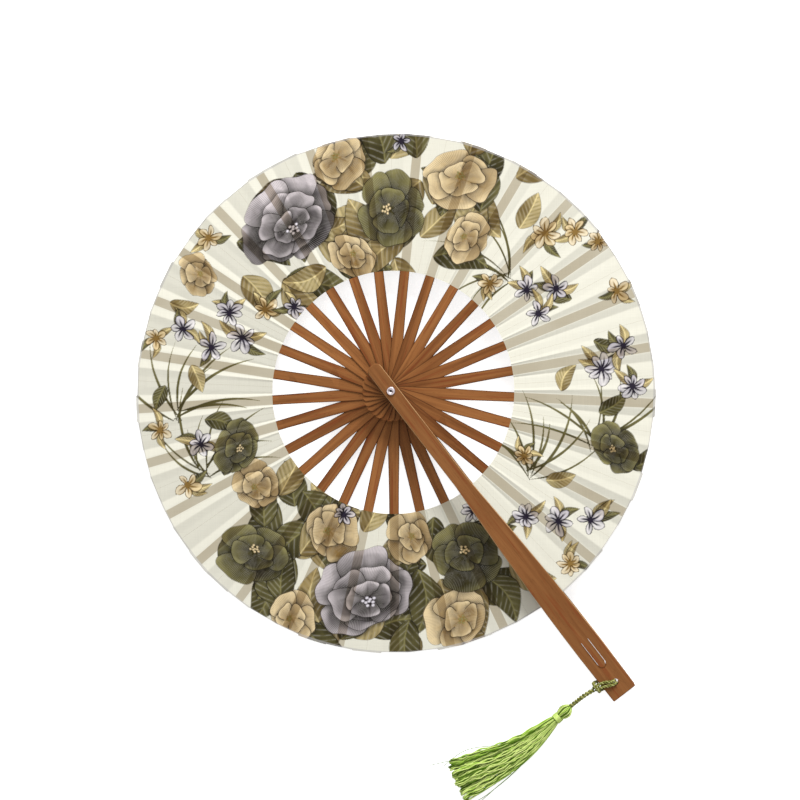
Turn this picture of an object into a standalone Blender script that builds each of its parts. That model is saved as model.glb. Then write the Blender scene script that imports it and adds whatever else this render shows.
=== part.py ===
"""Round folding fan: a pleated silk leaf on bamboo ribs, two long guards, one rivet and a tassel.

The fan lies open on its back. The rivet's axis is +Z, the front guard is on top, and the ribs
go down one step per bay, anticlockwise seen from above, to the back guard at the bottom.
Lengths are in metres and angles in radians.
"""

import math

import bmesh
import bpy
from mathutils import Matrix, Vector

# Layout of the open fan
RIB_COUNT = 28
BAY_COUNT = RIB_COUNT + 1
BAY_ANGLE = 2 * math.pi / BAY_COUNT
GUARD_BEARING = math.radians(-52.4)

# Leaf: one sheet of silk with two facets in each bay
LEAF_OUTER_RADIUS = 0.190
LEAF_INNER_RADIUS = 0.0885
LEAF_THICKNESS = 0.00025
LEAF_CLEARANCE = 0.0003
PLEAT_RISE_SHARE = 0.07

# Stack of blades on the rivet: the pitch is from one blade's underside to the next one's
HUB_PITCH = 0.00075
RIM_PITCH = 0.0005
RUNNING_GAP = 0.0002

# Rib: a thin bamboo blade, wide at the head, tapered to the leaf's rim
RIB_HUB_THICKNESS = 0.00055
RIB_RIM_THICKNESS = 0.00035
RIB_TIP_SETBACK = 0.0015
RIB_HEAD_REACH = 0.0215
RIB_HEAD_HALF_WIDTH = 0.0042
RIB_HEAD_CORNER = 0.0039
RIB_FLARE_START = 0.040
RIB_FLARE_END = 0.084
RIB_NECK_HALF_WIDTH = 0.00353
RIB_TIP_HALF_WIDTH = 0.0032
RIB_TIP_CORNER = 0.0010
RIB_FLARE_STEPS = 6

# Guard: a thicker blade that reaches past the rim as half of the handle
GUARD_THICKNESS = 0.0024
GUARD_EASE = 0.0004
GUARD_TIP_REACH = 0.273
GUARD_HEAD_REACH = 0.0232
GUARD_HEAD_HALF_WIDTH = 0.0054
GUARD_HEAD_CORNER = 0.0043
GUARD_SWELL_LENGTH = 0.150
GUARD_DRAW_IN_LENGTH = 0.040
GUARD_SWELL_HALF_WIDTH = 0.0102
GUARD_TIP_HALF_WIDTH = 0.0097
GUARD_TIP_CORNER = 0.0009
GUARD_SWELL_STEPS = 8

# Hole for the tassel's loop, set back from the guard's tip
LOOP_HOLE_SETBACK = 0.0107
LOOP_HOLE_RADIUS = 0.0023

# Spring tongue, cut free in the guard by a U-shaped slit that ends short of the loop's hole
TONGUE_HOLE_MARGIN = 0.0105
TONGUE_SLIT_LENGTH = 0.0235
TONGUE_HALF_WIDTH = 0.0025
TONGUE_SLIT_WIDTH = 0.0008

# Semi-tubular rivet: flat head below, shank through the stack, rolled crown on top
RIVET_HEAD_RADIUS = 0.0031
RIVET_HEAD_THICKNESS = 0.0008
RIVET_HEAD_EASE = 0.0002
RIVET_SHANK_RADIUS = 0.00125
RIVET_CROWN_RADIUS = 0.00305
RIVET_CROWN_ROLL = 0.00055
RIVET_CROWN_DISH = 0.0004
RIVET_BORE_RADIUS = 0.0007
RIVET_BORE_DEPTH = 0.0026
RIVET_SEAT_GAP = 0.0003
PIVOT_HOLE_CLEARANCE = 0.0003

# Loop of cord, hitched round the front guard's edge. Its points are measured from the loop's
# hole along the guard, across it, and above its face.
LOOP_RADIUS = 0.0009
LOOP_ROUTE = (
    (-0.0061, -0.0153, 0.0014),
    (-0.0061, -0.0120, 0.0016),
    (-0.0049, -0.0074, 0.0014),
    (-0.0025, -0.0032, 0.0014),
    (-0.0012, -0.0007, 0.0006),
    (-0.0011, 0.0000, -0.0012),
    (-0.0013, -0.0008, -0.0031),
    (-0.0031, -0.0040, -0.0038),
    (-0.0061, -0.0082, -0.0038),
    (-0.0080, -0.0114, -0.0031),
    (-0.0085, -0.0131, -0.0008),
    (-0.0082, -0.0134, 0.0020),
    (-0.0065, -0.0134, 0.0038),
    (-0.0035, -0.0134, 0.0038),
    (-0.0018, -0.0134, 0.0020),
    (-0.0015, -0.0131, -0.0008),
    (-0.0011, -0.0114, -0.0031),
    (0.0001, -0.0082, -0.0038),
    (0.0011, -0.0040, -0.0038),
    (0.0012, -0.0008, -0.0031),
    (0.0011, 0.0000, -0.0012),
    (0.0009, -0.0007, 0.0006),
    (0.0001, -0.0034, 0.0014),
    (-0.0018, -0.0076, 0.0014),
    (-0.0038, -0.0120, 0.0016),
    (-0.0039, -0.0153, 0.0014),
)

# Hitch, where the loop's two ends become one twisted cord and the tassel swings
HITCH = (-0.0050, -0.0160, 0.0014)

# Doubled cord from the hitch to the tassel: steps over the table from the hitch, and the share
# of the drop to the tassel's centre line
CORD_RADIUS = 0.0014
CORD_ROUTE = (
    (0.0000, 0.0000),
    (-0.0018, -0.0010),
    (-0.0058, -0.0035),
    (-0.0094, -0.0064),
    (-0.0124, -0.0091),
    (-0.0146, -0.0111),
    (-0.0160, -0.0124),
)
CORD_DROP_SHARES = (0.0, 0.0, 0.11, 0.40, 0.70, 0.91, 0.98)
SPLINE_STEPS = 3

# Tassel: head of folded threads, binding and flat skirt on one centre line from the cord's end,
# high enough for the back guard to pass under it
TASSEL_CLEARANCE = 0.0008
TASSEL_ROUTE = (
    (0.0000, 0.0000),
    (-0.0103, -0.0091),
    (-0.0313, -0.0272),
    (-0.0486, -0.0382),
    (-0.0665, -0.0467),
    (-0.0851, -0.0553),
)
TASSEL_SEAM = 0.0003
CORD_END_GAP = 0.0007
HEAD_LENGTH = 0.0105
HEAD_TOP_RADIUS = 0.0017
HEAD_BELLY_RADIUS = 0.0053
HEAD_NECK_RADIUS = 0.0033
BINDING_LENGTH = 0.0032
BINDING_RADIUS = 0.0039
SKIRT_NECK_RADIUS = 0.0031
SKIRT_HALF_HEIGHT = 0.0044
SKIRT_END_HALF_WIDTH = 0.0175
SKIRT_RIDGE_DEPTH = 0.0005
SKIRT_RIDGES = 14
SKIRT_RINGS = 11
THREAD_SIDES = 56
HEAD_SIDES = 24

ROUND_STEPS = 8
HOLE_SIDES = 16


def clear_scene():
    for obj in list(bpy.data.objects):
        bpy.data.objects.remove(obj)


def make_material(name, colour, roughness, metallic=0.0):
    material = bpy.data.materials.new(name)
    material.use_nodes = True
    shader = material.node_tree.nodes["Principled BSDF"]
    shader.inputs["Base Color"].default_value = (*colour, 1.0)
    shader.inputs["Roughness"].default_value = roughness
    shader.inputs["Metallic"].default_value = metallic
    return material


def make_object(name, mesh, material):
    """Puts a mesh in the scene as one named piece with its own material."""
    mesh.materials.clear()
    mesh.materials.append(material)
    obj = bpy.data.objects.new(name, mesh)
    bpy.context.collection.objects.link(obj)
    return obj


def finish_mesh(name, bm):
    bmesh.ops.recalc_face_normals(bm, faces=bm.faces)
    mesh = bpy.data.meshes.new(name)
    bm.to_mesh(mesh)
    bm.free()
    return mesh


def arc(centre_x, centre_y, radius, start, end, steps):
    """Points on an arc, both ends included."""
    angles = [start + (end - start) * step / steps for step in range(steps + 1)]
    return [(centre_x + radius * math.cos(a), centre_y + radius * math.sin(a)) for a in angles]


def circle(centre_x, radius, sides):
    return arc(centre_x, 0.0, radius, 0.0, 2 * math.pi, sides)[:-1]


def wall(bm, below, above):
    """Closed band of faces between two loops of vertices."""
    for index in range(len(below)):
        after = (index + 1) % len(below)
        bm.faces.new((below[index], below[after], above[after], above[index]))


def cap(bm, loops):
    """Fills one flat side of a plate: the first loop is its outline, the others are holes."""
    edges = []
    for loop in loops:
        edges += [bm.edges.get((loop[i - 1], loop[i])) for i in range(len(loop))]
    bmesh.ops.triangle_fill(bm, edges=edges, use_beauty=True)


def blade_mesh(name, rings, holes):
    """Plate along +X. Each ring is an outline and a height as a function of x, from below up."""
    bm = bmesh.new()
    loops = [[bm.verts.new((x, y, height(x))) for x, y in outline] for outline, height in rings]
    for below, above in zip(loops, loops[1:]):
        wall(bm, below, above)
    bottom, top = rings[0][1], rings[-1][1]
    lower_holes = [[bm.verts.new((x, y, bottom(x))) for x, y in hole] for hole in holes]
    upper_holes = [[bm.verts.new((x, y, top(x))) for x, y in hole] for hole in holes]
    for below, above in zip(lower_holes, upper_holes):
        wall(bm, below, above)
    cap(bm, [loops[0]] + lower_holes)
    cap(bm, [loops[-1]] + upper_holes)
    return finish_mesh(name, bm)


def blade_outline(side, head_reach, head_corner, tip_reach, tip_corner, inset=0.0):
    """Outline from one long side's (x, half width) points, with rounded corners at both ends."""
    head_x = -head_reach + head_corner
    head_y = side[0][1] - head_corner
    tip_x = tip_reach - tip_corner
    tip_y = side[-1][1] - tip_corner
    quarter = math.pi / 2
    half_steps = ROUND_STEPS // 2
    right = arc(head_x, -head_y, head_corner - inset, -2 * quarter, -quarter, ROUND_STEPS)
    right += [(x, inset - y) for x, y in side[1:-1]]
    right += arc(tip_x, -tip_y, tip_corner - inset, -quarter, 0.0, half_steps)
    return right + [(x, -y) for x, y in reversed(right)]


def rib_reach():
    return LEAF_OUTER_RADIUS - RIB_TIP_SETBACK


def rib_half_width(x):
    """Hollow flare from the head to the neck, then a straight taper to the tip."""
    if x < RIB_FLARE_END:
        share = min((RIB_FLARE_END - x) / (RIB_FLARE_END - RIB_FLARE_START), 1.0)
        return RIB_NECK_HALF_WIDTH + (RIB_HEAD_HALF_WIDTH - RIB_NECK_HALF_WIDTH) * share**1.5
    share = (x - RIB_FLARE_END) / (rib_reach() - RIB_FLARE_END)
    return RIB_NECK_HALF_WIDTH + (RIB_TIP_HALF_WIDTH - RIB_NECK_HALF_WIDTH) * share


def rib_thickness(x):
    share = min(max(x / LEAF_OUTER_RADIUS, 0.0), 1.0)
    return RIB_HUB_THICKNESS + (RIB_RIM_THICKNESS - RIB_HUB_THICKNESS) * share


def rib_outline():
    span = RIB_FLARE_END - RIB_FLARE_START
    flare = [RIB_FLARE_START + span * step / RIB_FLARE_STEPS for step in range(RIB_FLARE_STEPS + 1)]
    stations = [-RIB_HEAD_REACH, 0.0] + flare + [rib_reach()]
    side = [(x, rib_half_width(x)) for x in stations]
    return blade_outline(side, RIB_HEAD_REACH, RIB_HEAD_CORNER, rib_reach(), RIB_TIP_CORNER)


def guard_half_width(x):
    """Even width at the head, a swell along a quarter sine wave, then a slight draw-in."""
    swell_end = GUARD_TIP_REACH - GUARD_DRAW_IN_LENGTH
    if x < swell_end:
        share = max(1.0 - (swell_end - x) / GUARD_SWELL_LENGTH, 0.0)
        swell = math.sin(share * math.pi / 2)
        return GUARD_HEAD_HALF_WIDTH + (GUARD_SWELL_HALF_WIDTH - GUARD_HEAD_HALF_WIDTH) * swell
    share = (x - swell_end) / GUARD_DRAW_IN_LENGTH
    return GUARD_SWELL_HALF_WIDTH + (GUARD_TIP_HALF_WIDTH - GUARD_SWELL_HALF_WIDTH) * share


def guard_outline(inset):
    swell_start = GUARD_TIP_REACH - GUARD_DRAW_IN_LENGTH - GUARD_SWELL_LENGTH
    shares = [step / GUARD_SWELL_STEPS for step in range(GUARD_SWELL_STEPS + 1)]
    stations = [swell_start + GUARD_SWELL_LENGTH * share for share in shares]
    stations = [-GUARD_HEAD_REACH] + stations + [GUARD_TIP_REACH]
    side = [(x, guard_half_width(x)) for x in stations]
    return blade_outline(
        side, GUARD_HEAD_REACH, GUARD_HEAD_CORNER, GUARD_TIP_REACH, GUARD_TIP_CORNER, inset
    )


def loop_hole_reach():
    return GUARD_TIP_REACH - LOOP_HOLE_SETBACK


def tongue_slit():
    """Closed outline of the U-shaped slit, whose round end faces the guard's tip."""
    outer = TONGUE_HALF_WIDTH + TONGUE_SLIT_WIDTH
    slit_end = loop_hole_reach() - LOOP_HOLE_RADIUS - TONGUE_HOLE_MARGIN
    bend_x = slit_end - outer
    quarter = math.pi / 2
    outside = arc(bend_x, 0.0, outer, -quarter, quarter, ROUND_STEPS)
    inside = arc(bend_x, 0.0, TONGUE_HALF_WIDTH, quarter, -quarter, ROUND_STEPS)
    root = slit_end - TONGUE_SLIT_LENGTH
    return (
        [(root, -outer)] + outside + [(root, outer), (root, TONGUE_HALF_WIDTH)] + inside
        + [(root, -TONGUE_HALF_WIDTH)]
    )


def pivot_hole():
    return circle(0.0, RIVET_SHANK_RADIUS + PIVOT_HOLE_CLEARANCE, HOLE_SIDES)


def back_guard_height():
    """Underside of the back guard, just above the rivet's head."""
    return RIVET_HEAD_THICKNESS + RUNNING_GAP


def stack_base():
    """Underside of the lowest rib at the rivet."""
    return back_guard_height() + GUARD_THICKNESS + RUNNING_GAP


def underside(level, radius):
    """Height of the underside of the blade that is this many bays below the front guard."""
    steps = RIB_COUNT - level
    pitch = HUB_PITCH + (RIM_PITCH - HUB_PITCH) * radius / LEAF_OUTER_RADIUS
    return stack_base() + steps * pitch


def blade_place(level):
    """Turns a blade to its bearing, tilts it to its slope and lifts it to its level."""
    rise = underside(level, LEAF_OUTER_RADIUS) - underside(level, 0.0)
    slope = math.atan2(rise, LEAF_OUTER_RADIUS)
    turn = Matrix.Rotation(GUARD_BEARING + level * BAY_ANGLE, 4, "Z")
    tilt = Matrix.Rotation(-slope, 4, "Y")
    return Matrix.Translation((0.0, 0.0, underside(level, 0.0))) @ turn @ tilt


def make_ribs(bamboo):
    outline = rib_outline()
    mesh = blade_mesh("rib", [(outline, lambda x: 0.0), (outline, rib_thickness)], [pivot_hole()])
    for level in range(1, RIB_COUNT + 1):
        rib = make_object(f"rib_{level:02d}", mesh, bamboo)
        rib.matrix_world = blade_place(level)


def guard_mesh():
    """Guard with eased edges, pivot hole, tongue slit and loop hole."""
    inner, outer = guard_outline(GUARD_EASE), guard_outline(0.0)
    rings = [
        (inner, lambda x: 0.0),
        (outer, lambda x: GUARD_EASE),
        (outer, lambda x: GUARD_THICKNESS - GUARD_EASE),
        (inner, lambda x: GUARD_THICKNESS),
    ]
    loop_hole = circle(loop_hole_reach(), LOOP_HOLE_RADIUS, HOLE_SIDES)
    return blade_mesh("guard", rings, [pivot_hole(), tongue_slit(), loop_hole])


def make_guards(bamboo):
    mesh = guard_mesh()
    front = make_object("front_guard", mesh, bamboo)
    front.matrix_world = blade_place(0)
    back = make_object("back_guard", mesh, bamboo)
    turn = Matrix.Rotation(GUARD_BEARING, 4, "Z")
    back.matrix_world = Matrix.Translation((0.0, 0.0, back_guard_height())) @ turn


def leaf_underside(level, radius):
    """Height of the silk at a blade: under the front guard, or on top of a rib or the back guard."""
    if level == 0:
        return underside(0, radius) - LEAF_CLEARANCE - LEAF_THICKNESS
    if level == BAY_COUNT:
        return back_guard_height() + GUARD_THICKNESS + LEAF_CLEARANCE
    return underside(level, radius) + rib_thickness(radius) + LEAF_CLEARANCE


def leaf_column(level, side, at_crease, radius):
    """Point on the silk at a blade: at the blade's edge, or out at the crease past it."""
    half_facet = BAY_ANGLE / 4
    rise = 0.0
    offset = math.asin(rib_half_width(radius) / radius)
    if at_crease:
        offset = half_facet
        rise = side * PLEAT_RISE_SHARE * radius * math.sin(half_facet)
    bearing = GUARD_BEARING + level * BAY_ANGLE + side * offset
    height = leaf_underside(level, radius) + rise
    if level == 0:
        height -= max(rise, 0.0)
    if level == BAY_COUNT:
        height -= min(rise, 0.0)
    return Vector((radius * math.cos(bearing), radius * math.sin(bearing), height))


def make_leaf(silk):
    """One pleated sheet: mountain creases anticlockwise of each rib, valleys clockwise of it."""
    bm = bmesh.new()
    columns = [(level, side, crease) for level in range(BAY_COUNT + 1)
               for side, crease in ((-1, True), (-1, False), (1, False), (1, True))]
    lift = Vector((0.0, 0.0, LEAF_THICKNESS))
    sections = []
    for level, side, crease in columns:
        inner = leaf_column(level, side, crease, LEAF_INNER_RADIUS)
        outer = leaf_column(level, side, crease, LEAF_OUTER_RADIUS)
        sections.append([bm.verts.new(point) for point in (inner, outer, outer + lift, inner + lift)])
    for before, after in zip(sections, sections[1:]):
        wall(bm, before, after)
    bm.faces.new(sections[0])
    bm.faces.new(sections[-1])
    make_object("leaf", finish_mesh("leaf", bm), silk)


def turned_mesh(name, profile, sides):
    """Solid turned about +Z from a profile of (radius, height) points that ends on the axis."""
    bm = bmesh.new()
    start = bm.verts.new((0.0, 0.0, profile[0][1]))
    end = bm.verts.new((0.0, 0.0, profile[-1][1]))
    rings = []
    for radius, height in profile[1:-1]:
        rings.append([bm.verts.new((x, y, height)) for x, y in circle(0.0, radius, sides)])
    for below, above in zip(rings, rings[1:]):
        wall(bm, below, above)
    for index in range(sides):
        after = (index + 1) % sides
        bm.faces.new((start, rings[0][after], rings[0][index]))
        bm.faces.new((end, rings[-1][index], rings[-1][after]))
    return finish_mesh(name, bm)


def make_rivet(steel):
    seat = underside(0, 0.0) + GUARD_THICKNESS + RIVET_SEAT_GAP
    roll_radius = RIVET_CROWN_RADIUS - RIVET_CROWN_ROLL
    quarter = math.pi / 2
    roll = arc(roll_radius, seat + RIVET_CROWN_ROLL, RIVET_CROWN_ROLL, -quarter, quarter, ROUND_STEPS)
    crown_top = seat + 2 * RIVET_CROWN_ROLL
    bore_floor = crown_top - RIVET_BORE_DEPTH
    profile = [
        (0.0, 0.0),
        (RIVET_HEAD_RADIUS - RIVET_HEAD_EASE, 0.0),
        (RIVET_HEAD_RADIUS, RIVET_HEAD_EASE),
        (RIVET_HEAD_RADIUS, RIVET_HEAD_THICKNESS),
        (RIVET_SHANK_RADIUS, RIVET_HEAD_THICKNESS),
        (RIVET_SHANK_RADIUS, seat),
        *roll,
        (RIVET_BORE_RADIUS, crown_top - RIVET_CROWN_DISH),
        (RIVET_BORE_RADIUS, bore_floor),
        (0.0, bore_floor),
    ]
    make_object("rivet", turned_mesh("rivet", profile, 2 * HOLE_SIDES), steel)


def smooth_route(points, steps):
    """Catmull-Rom curve through the points, with the given number of steps between two."""
    ends = [2 * points[0] - points[1]] + points + [2 * points[-1] - points[-2]]
    route = []
    for a, b, c, d in zip(ends, ends[1:], ends[2:], ends[3:]):
        for step in range(steps):
            t = step / steps
            route.append(0.5 * (2 * b + (c - a) * t + (2 * a - 5 * b + 4 * c - d) * t * t
                                + (3 * b - a - 3 * c + d) * t**3))
    return route + [points[-1]]


def make_cord(name, points, radius, material):
    """Tube with filled caps along a smooth route."""
    curve = bpy.data.curves.new(name, "CURVE")
    curve.dimensions = "3D"
    curve.bevel_depth = radius
    curve.bevel_resolution = 2
    curve.use_fill_caps = True
    route = smooth_route(points, SPLINE_STEPS)
    spline = curve.splines.new("POLY")
    spline.points.add(len(route) - 1)
    for slot, point in zip(spline.points, route):
        slot.co = (*point, 1.0)
    curve.materials.append(material)
    obj = bpy.data.objects.new(name, curve)
    bpy.context.collection.objects.link(obj)
    return obj


def at_loop_hole(point):
    """World place of a point measured from the loop's hole on the front guard's face."""
    along, across, above = point
    return blade_place(0) @ Vector((loop_hole_reach() + along, across, GUARD_THICKNESS + above))


def tassel_height():
    return back_guard_height() + GUARD_THICKNESS + TASSEL_CLEARANCE + HEAD_BELLY_RADIUS


def make_cords(thread):
    """Loop hitched to the front guard, and the doubled cord down to the tassel."""
    make_cord("tassel_loop", [at_loop_hole(point) for point in LOOP_ROUTE], LOOP_RADIUS, thread)
    hitch = at_loop_hole(HITCH)
    drop = tassel_height() - hitch.z
    cord = [hitch + Vector((x, y, drop * share)) for (x, y), share in zip(CORD_ROUTE, CORD_DROP_SHARES)]
    make_cord("tassel_cord", cord, CORD_RADIUS, thread)


def route_at(route, distance):
    """Point and direction at a distance along a polyline."""
    travelled = 0.0
    for start, end in zip(route, route[1:]):
        length = (end - start).length
        if distance <= travelled + length or end is route[-1]:
            direction = (end - start) / length
            return start + direction * (distance - travelled), direction
        travelled += length


def route_length(route):
    return sum((end - start).length for start, end in zip(route, route[1:]))


def lofted_mesh(name, route, stations, sides, ridges=0):
    """Solid round a flat route. A station is a distance, a half width, a half height and a ridge depth."""
    bm = bmesh.new()
    rings = []
    for distance, half_width, half_height, ridge in stations:
        centre, direction = route_at(route, distance)
        across = Vector((-direction.y, direction.x, 0.0))
        ring = []
        for index in range(sides):
            angle = 2 * math.pi * index / sides
            cut = ridge * 0.5 * (1.0 - math.cos(ridges * angle))
            sideways = across * ((half_width - cut) * math.cos(angle))
            upwards = Vector((0.0, 0.0, (half_height - cut) * math.sin(angle)))
            ring.append(bm.verts.new(centre + sideways + upwards))
        rings.append(ring)
    for below, above in zip(rings, rings[1:]):
        wall(bm, below, above)
    bm.faces.new(rings[0])
    bm.faces.new(rings[-1])
    return finish_mesh(name, bm)


def make_tassel(thread):
    """Head, binding and skirt in a row on one centre line, each a seam apart from the next."""
    cord_x, cord_y = CORD_ROUTE[-1]
    start = at_loop_hole(HITCH) + Vector((cord_x, cord_y, 0.0))
    start.z = tassel_height()
    route = smooth_route([start + Vector((x, y, 0.0)) for x, y in TASSEL_ROUTE], SPLINE_STEPS)
    head_shares = ((0.0, 0.0), (0.12, 0.62), (0.35, 1.0), (0.65, 0.93))
    head = []
    for share, swell in head_shares:
        radius = HEAD_TOP_RADIUS + (HEAD_BELLY_RADIUS - HEAD_TOP_RADIUS) * swell
        head.append((CORD_END_GAP + HEAD_LENGTH * share, radius, radius, 0.0))
    head_end = CORD_END_GAP + HEAD_LENGTH
    head.append((head_end, HEAD_NECK_RADIUS, HEAD_NECK_RADIUS, 0.0))
    make_object("tassel_head", lofted_mesh("tassel_head", route, head, HEAD_SIDES), thread)

    start = head_end + TASSEL_SEAM
    end = start + BINDING_LENGTH
    binding = []
    for share, swell in ((0.0, 0.88), (0.25, 1.0), (0.75, 1.0), (1.0, 0.88)):
        radius = BINDING_RADIUS * swell
        binding.append((start + (end - start) * share, radius, radius, 0.0))
    make_object("tassel_binding", lofted_mesh("tassel_binding", route, binding, HEAD_SIDES), thread)

    start = end + TASSEL_SEAM
    end = route_length(route)
    skirt = []
    for ring in range(SKIRT_RINGS):
        share = ring / (SKIRT_RINGS - 1)
        half_width = SKIRT_NECK_RADIUS + (SKIRT_END_HALF_WIDTH - SKIRT_NECK_RADIUS) * share**0.8
        swell = math.sin(math.pi * min(share * 1.6, 1.0) / 2)
        half_height = SKIRT_NECK_RADIUS + (SKIRT_HALF_HEIGHT - SKIRT_NECK_RADIUS) * swell
        skirt.append((start + (end - start) * share, half_width, half_height, SKIRT_RIDGE_DEPTH * swell))
    mesh = lofted_mesh("tassel_skirt", route, skirt, THREAD_SIDES, SKIRT_RIDGES)
    make_object("tassel_skirt", mesh, thread)


def main():
    clear_scene()
    bamboo = make_material("rib bamboo", (0.30, 0.135, 0.055), 0.45)
    guard_bamboo = make_material("guard bamboo", (0.27, 0.115, 0.045), 0.35)
    silk = make_material("leaf silk", (0.72, 0.70, 0.55), 0.6)
    steel = make_material("rivet steel", (0.75, 0.73, 0.71), 0.25, 1.0)
    thread = make_material("tassel thread", (0.36, 0.58, 0.10), 0.6)
    make_ribs(bamboo)
    make_guards(guard_bamboo)
    make_leaf(silk)
    make_rivet(steel)
    make_cords(thread)
    make_tassel(thread)


main()
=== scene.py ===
"""Round folding fan, open: bamboo ribs and guards, pleated printed silk, a rivet and a tassel."""

import math

import bmesh
import bpy
import numpy as np
from bpy.props import FloatProperty, FloatVectorProperty, IntProperty, PointerProperty
from mathutils import Matrix, Vector


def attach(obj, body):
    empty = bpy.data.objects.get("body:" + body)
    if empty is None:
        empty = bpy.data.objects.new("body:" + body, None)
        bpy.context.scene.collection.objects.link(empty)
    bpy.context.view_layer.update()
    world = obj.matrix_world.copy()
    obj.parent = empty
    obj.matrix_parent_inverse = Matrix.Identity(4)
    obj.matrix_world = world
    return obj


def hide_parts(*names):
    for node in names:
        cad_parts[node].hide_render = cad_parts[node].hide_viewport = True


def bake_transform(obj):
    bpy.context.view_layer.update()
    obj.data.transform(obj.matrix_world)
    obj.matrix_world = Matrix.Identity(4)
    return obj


bl_info = {
    "name": "Round folding fan",
    "version": (1, 0, 0),
    "blender": (4, 5, 0),
    "location": "View3D > Sidebar > Folding fan",
    "description": "Builds the silk, bamboo finish, rivet, tassel and stage of a round folding fan",
    "category": "Object",
}

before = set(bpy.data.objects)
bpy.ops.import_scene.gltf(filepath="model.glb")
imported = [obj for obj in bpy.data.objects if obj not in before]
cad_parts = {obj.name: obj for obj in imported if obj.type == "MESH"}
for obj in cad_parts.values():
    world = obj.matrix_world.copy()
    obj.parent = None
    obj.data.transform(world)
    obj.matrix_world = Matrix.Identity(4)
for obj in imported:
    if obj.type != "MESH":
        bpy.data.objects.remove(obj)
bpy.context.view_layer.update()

GOLDEN_TURN = math.pi * (3.0 - math.sqrt(5.0))
WHITE = (1.0, 1.0, 1.0, 1.0)

# The stack of blades: level 0 is the front guard, 29 the back guard.
BAYS = 29
BAY_ANGLE = math.tau / BAYS
GUARD_BEARING = math.radians(-52.4)
LEAF_OUTER_RADIUS = 0.190
LEAF_INNER_RADIUS = 0.0885
LOWEST_RIB_UNDERSIDE = 0.0036
HUB_PITCH = 0.00075
PITCH_LOSS = 0.00025
RIB_HUB_THICKNESS = 0.00055
RIB_THICKNESS_LOSS = 0.0002
RIB_REACH = 0.1885
RIB_SEAT_HALF_WIDTH = 0.0038
RIB_HALF_WIDTHS = ((0.040, 0.0042), (0.070, 0.0036), (0.1885, 0.0032))
GUARD_HALF_WIDTHS = ((0.083, 0.0054), (0.180, 0.0097), (0.233, 0.0102))
BACK_GUARD_TOP = 0.0034

# The leaf's grid, its folds and the unevenness of its rim.
FOLD_SHARE = 0.25
COLUMNS = 64
ROWS = 200
GLUE_LIFT = 0.00001
NEST_LIFT = 0.00006
NEST_SHARE = 0.3
FOLD_EASE = 1.1
RIM_JITTER = 0.0014
RIM_SEED = 11

# The blades' finish: how light each is, the painted highlight on the guards' edges, how much less a
# rib's edges are eased, and the way from the piece of grain that one blade is cut from to the next
# one's.
BAMBOO_SEED = 3
GUARD_TONE = 0.60
RIB_TONES = (0.30, 0.64)
GUARD_EDGE_GLINT = 0.85
RIB_EASE_SHARE = 0.6
GRAIN_SPACING = 0.9
WELD_REACH = 0.000004

# How close each finish's noise lies along three axes, the finishes' fixed colours, and the edges
# between which a mark fades: distances from the blade's edge, the printed line, the rib's middle,
# its end, the leaf's rim and the rivet's axis.
FIBRE_SCALE = (26.0, 1500.0, 700.0)
BAND_SCALE = (13.0, 240.0, 90.0)
STREAK_SCALE = (22.0, 520.0, 300.0)
FLECK_SCALE = (150.0, 2600.0, 900.0)
# Colour of the painted highlight along the guards' edges.
GLINTING_BAMBOO = (0.62, 0.36, 0.17, 1.0)
# Painted shade near a blade's long edges fades between these distances from the edge.
SHADED_EDGE = (0.0003, 0.0014)
# The painted highlight along the guards' edges fades between these distances from the edge.
GLINT_EDGE = (0.0006, 0.0011)
SILK_THREADS_PER_METRE = 2600.0
SLUB_SCALES = ((60.0, 2200.0, 1.0), (2200.0, 60.0, 1.0))
CLOUD_SCALE = (28.0, 28.0, 1.0)
CLOUDED_SILK = (0.80, 0.77, 0.62, 1.0)
SILK_LIGHTNESS = 0.86
RIB_SHADE_NOISE_SCALE = (17.0, 17.0, 1.0)
RIB_SIDE = (0.0031, 0.0035)
RIB_END = (RIB_REACH - 0.0006, RIB_REACH + 0.0004)
HEM_EDGE = (LEAF_OUTER_RADIUS - 0.0021, LEAF_OUTER_RADIUS - 0.0016)
FRONT_RIB_SHADE = 0.86
BACK_INK_SHARE = 0.5
STROKE_BREAK_SCALE = (160.0, 160.0, 1.0)
PALE_STROKE = (0.72, 0.69, 0.62, 1.0)
DEEP_STROKE = (0.02, 0.018, 0.015, 1.0)
OUTLINE_SHADE = (0.10, 0.085, 0.07, 1.0)
OUTLINE_EDGE = (0.00020, 0.00050)
THREAD_FIBRE_SCALE = (2400.0, 2400.0, 2400.0)
THREAD_TONE_SCALE = (190.0, 190.0, 260.0)
THREAD_SIDE_SHADE = (0.34, 0.38, 0.20, 1.0)
RING_TURNS = 42000.0
SCUFF_SCALE = (900.0, 900.0, 900.0)
TARNISH = (0.42, 0.36, 0.37, 1.0)
DISH_SHADE = (0.16, 0.125, 0.13, 1.0)
BORE_SHADE = (0.012, 0.01, 0.01, 1.0)
DISH_EDGE = (0.0016, 0.0024)
BORE_EDGE = (0.00066, 0.00105)

# The rivet, as radius and height.
RIVET_PROFILE = (
    (0.0, 0.0), (0.0026, 0.0), (0.0029, 0.00006), (0.00306, 0.0002), (0.0031, 0.0004),
    (0.00308, 0.00066), (0.0030, 0.0008), (0.00125, 0.0008), (0.00125, 0.0273), (0.0026, 0.0273),
    (0.00286, 0.02736), (0.00302, 0.02756), (0.00305, 0.02782), (0.00296, 0.02808),
    (0.00276, 0.02828), (0.00248, 0.02839), (0.0021, 0.02838), (0.0017, 0.02824),
    (0.0013, 0.02806), (0.00098, 0.02796), (0.0008, 0.02788), (0.0007, 0.0277), (0.00068, 0.0260),
    (0.0, 0.0258),
)
RIVET_STEPS = 96
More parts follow.
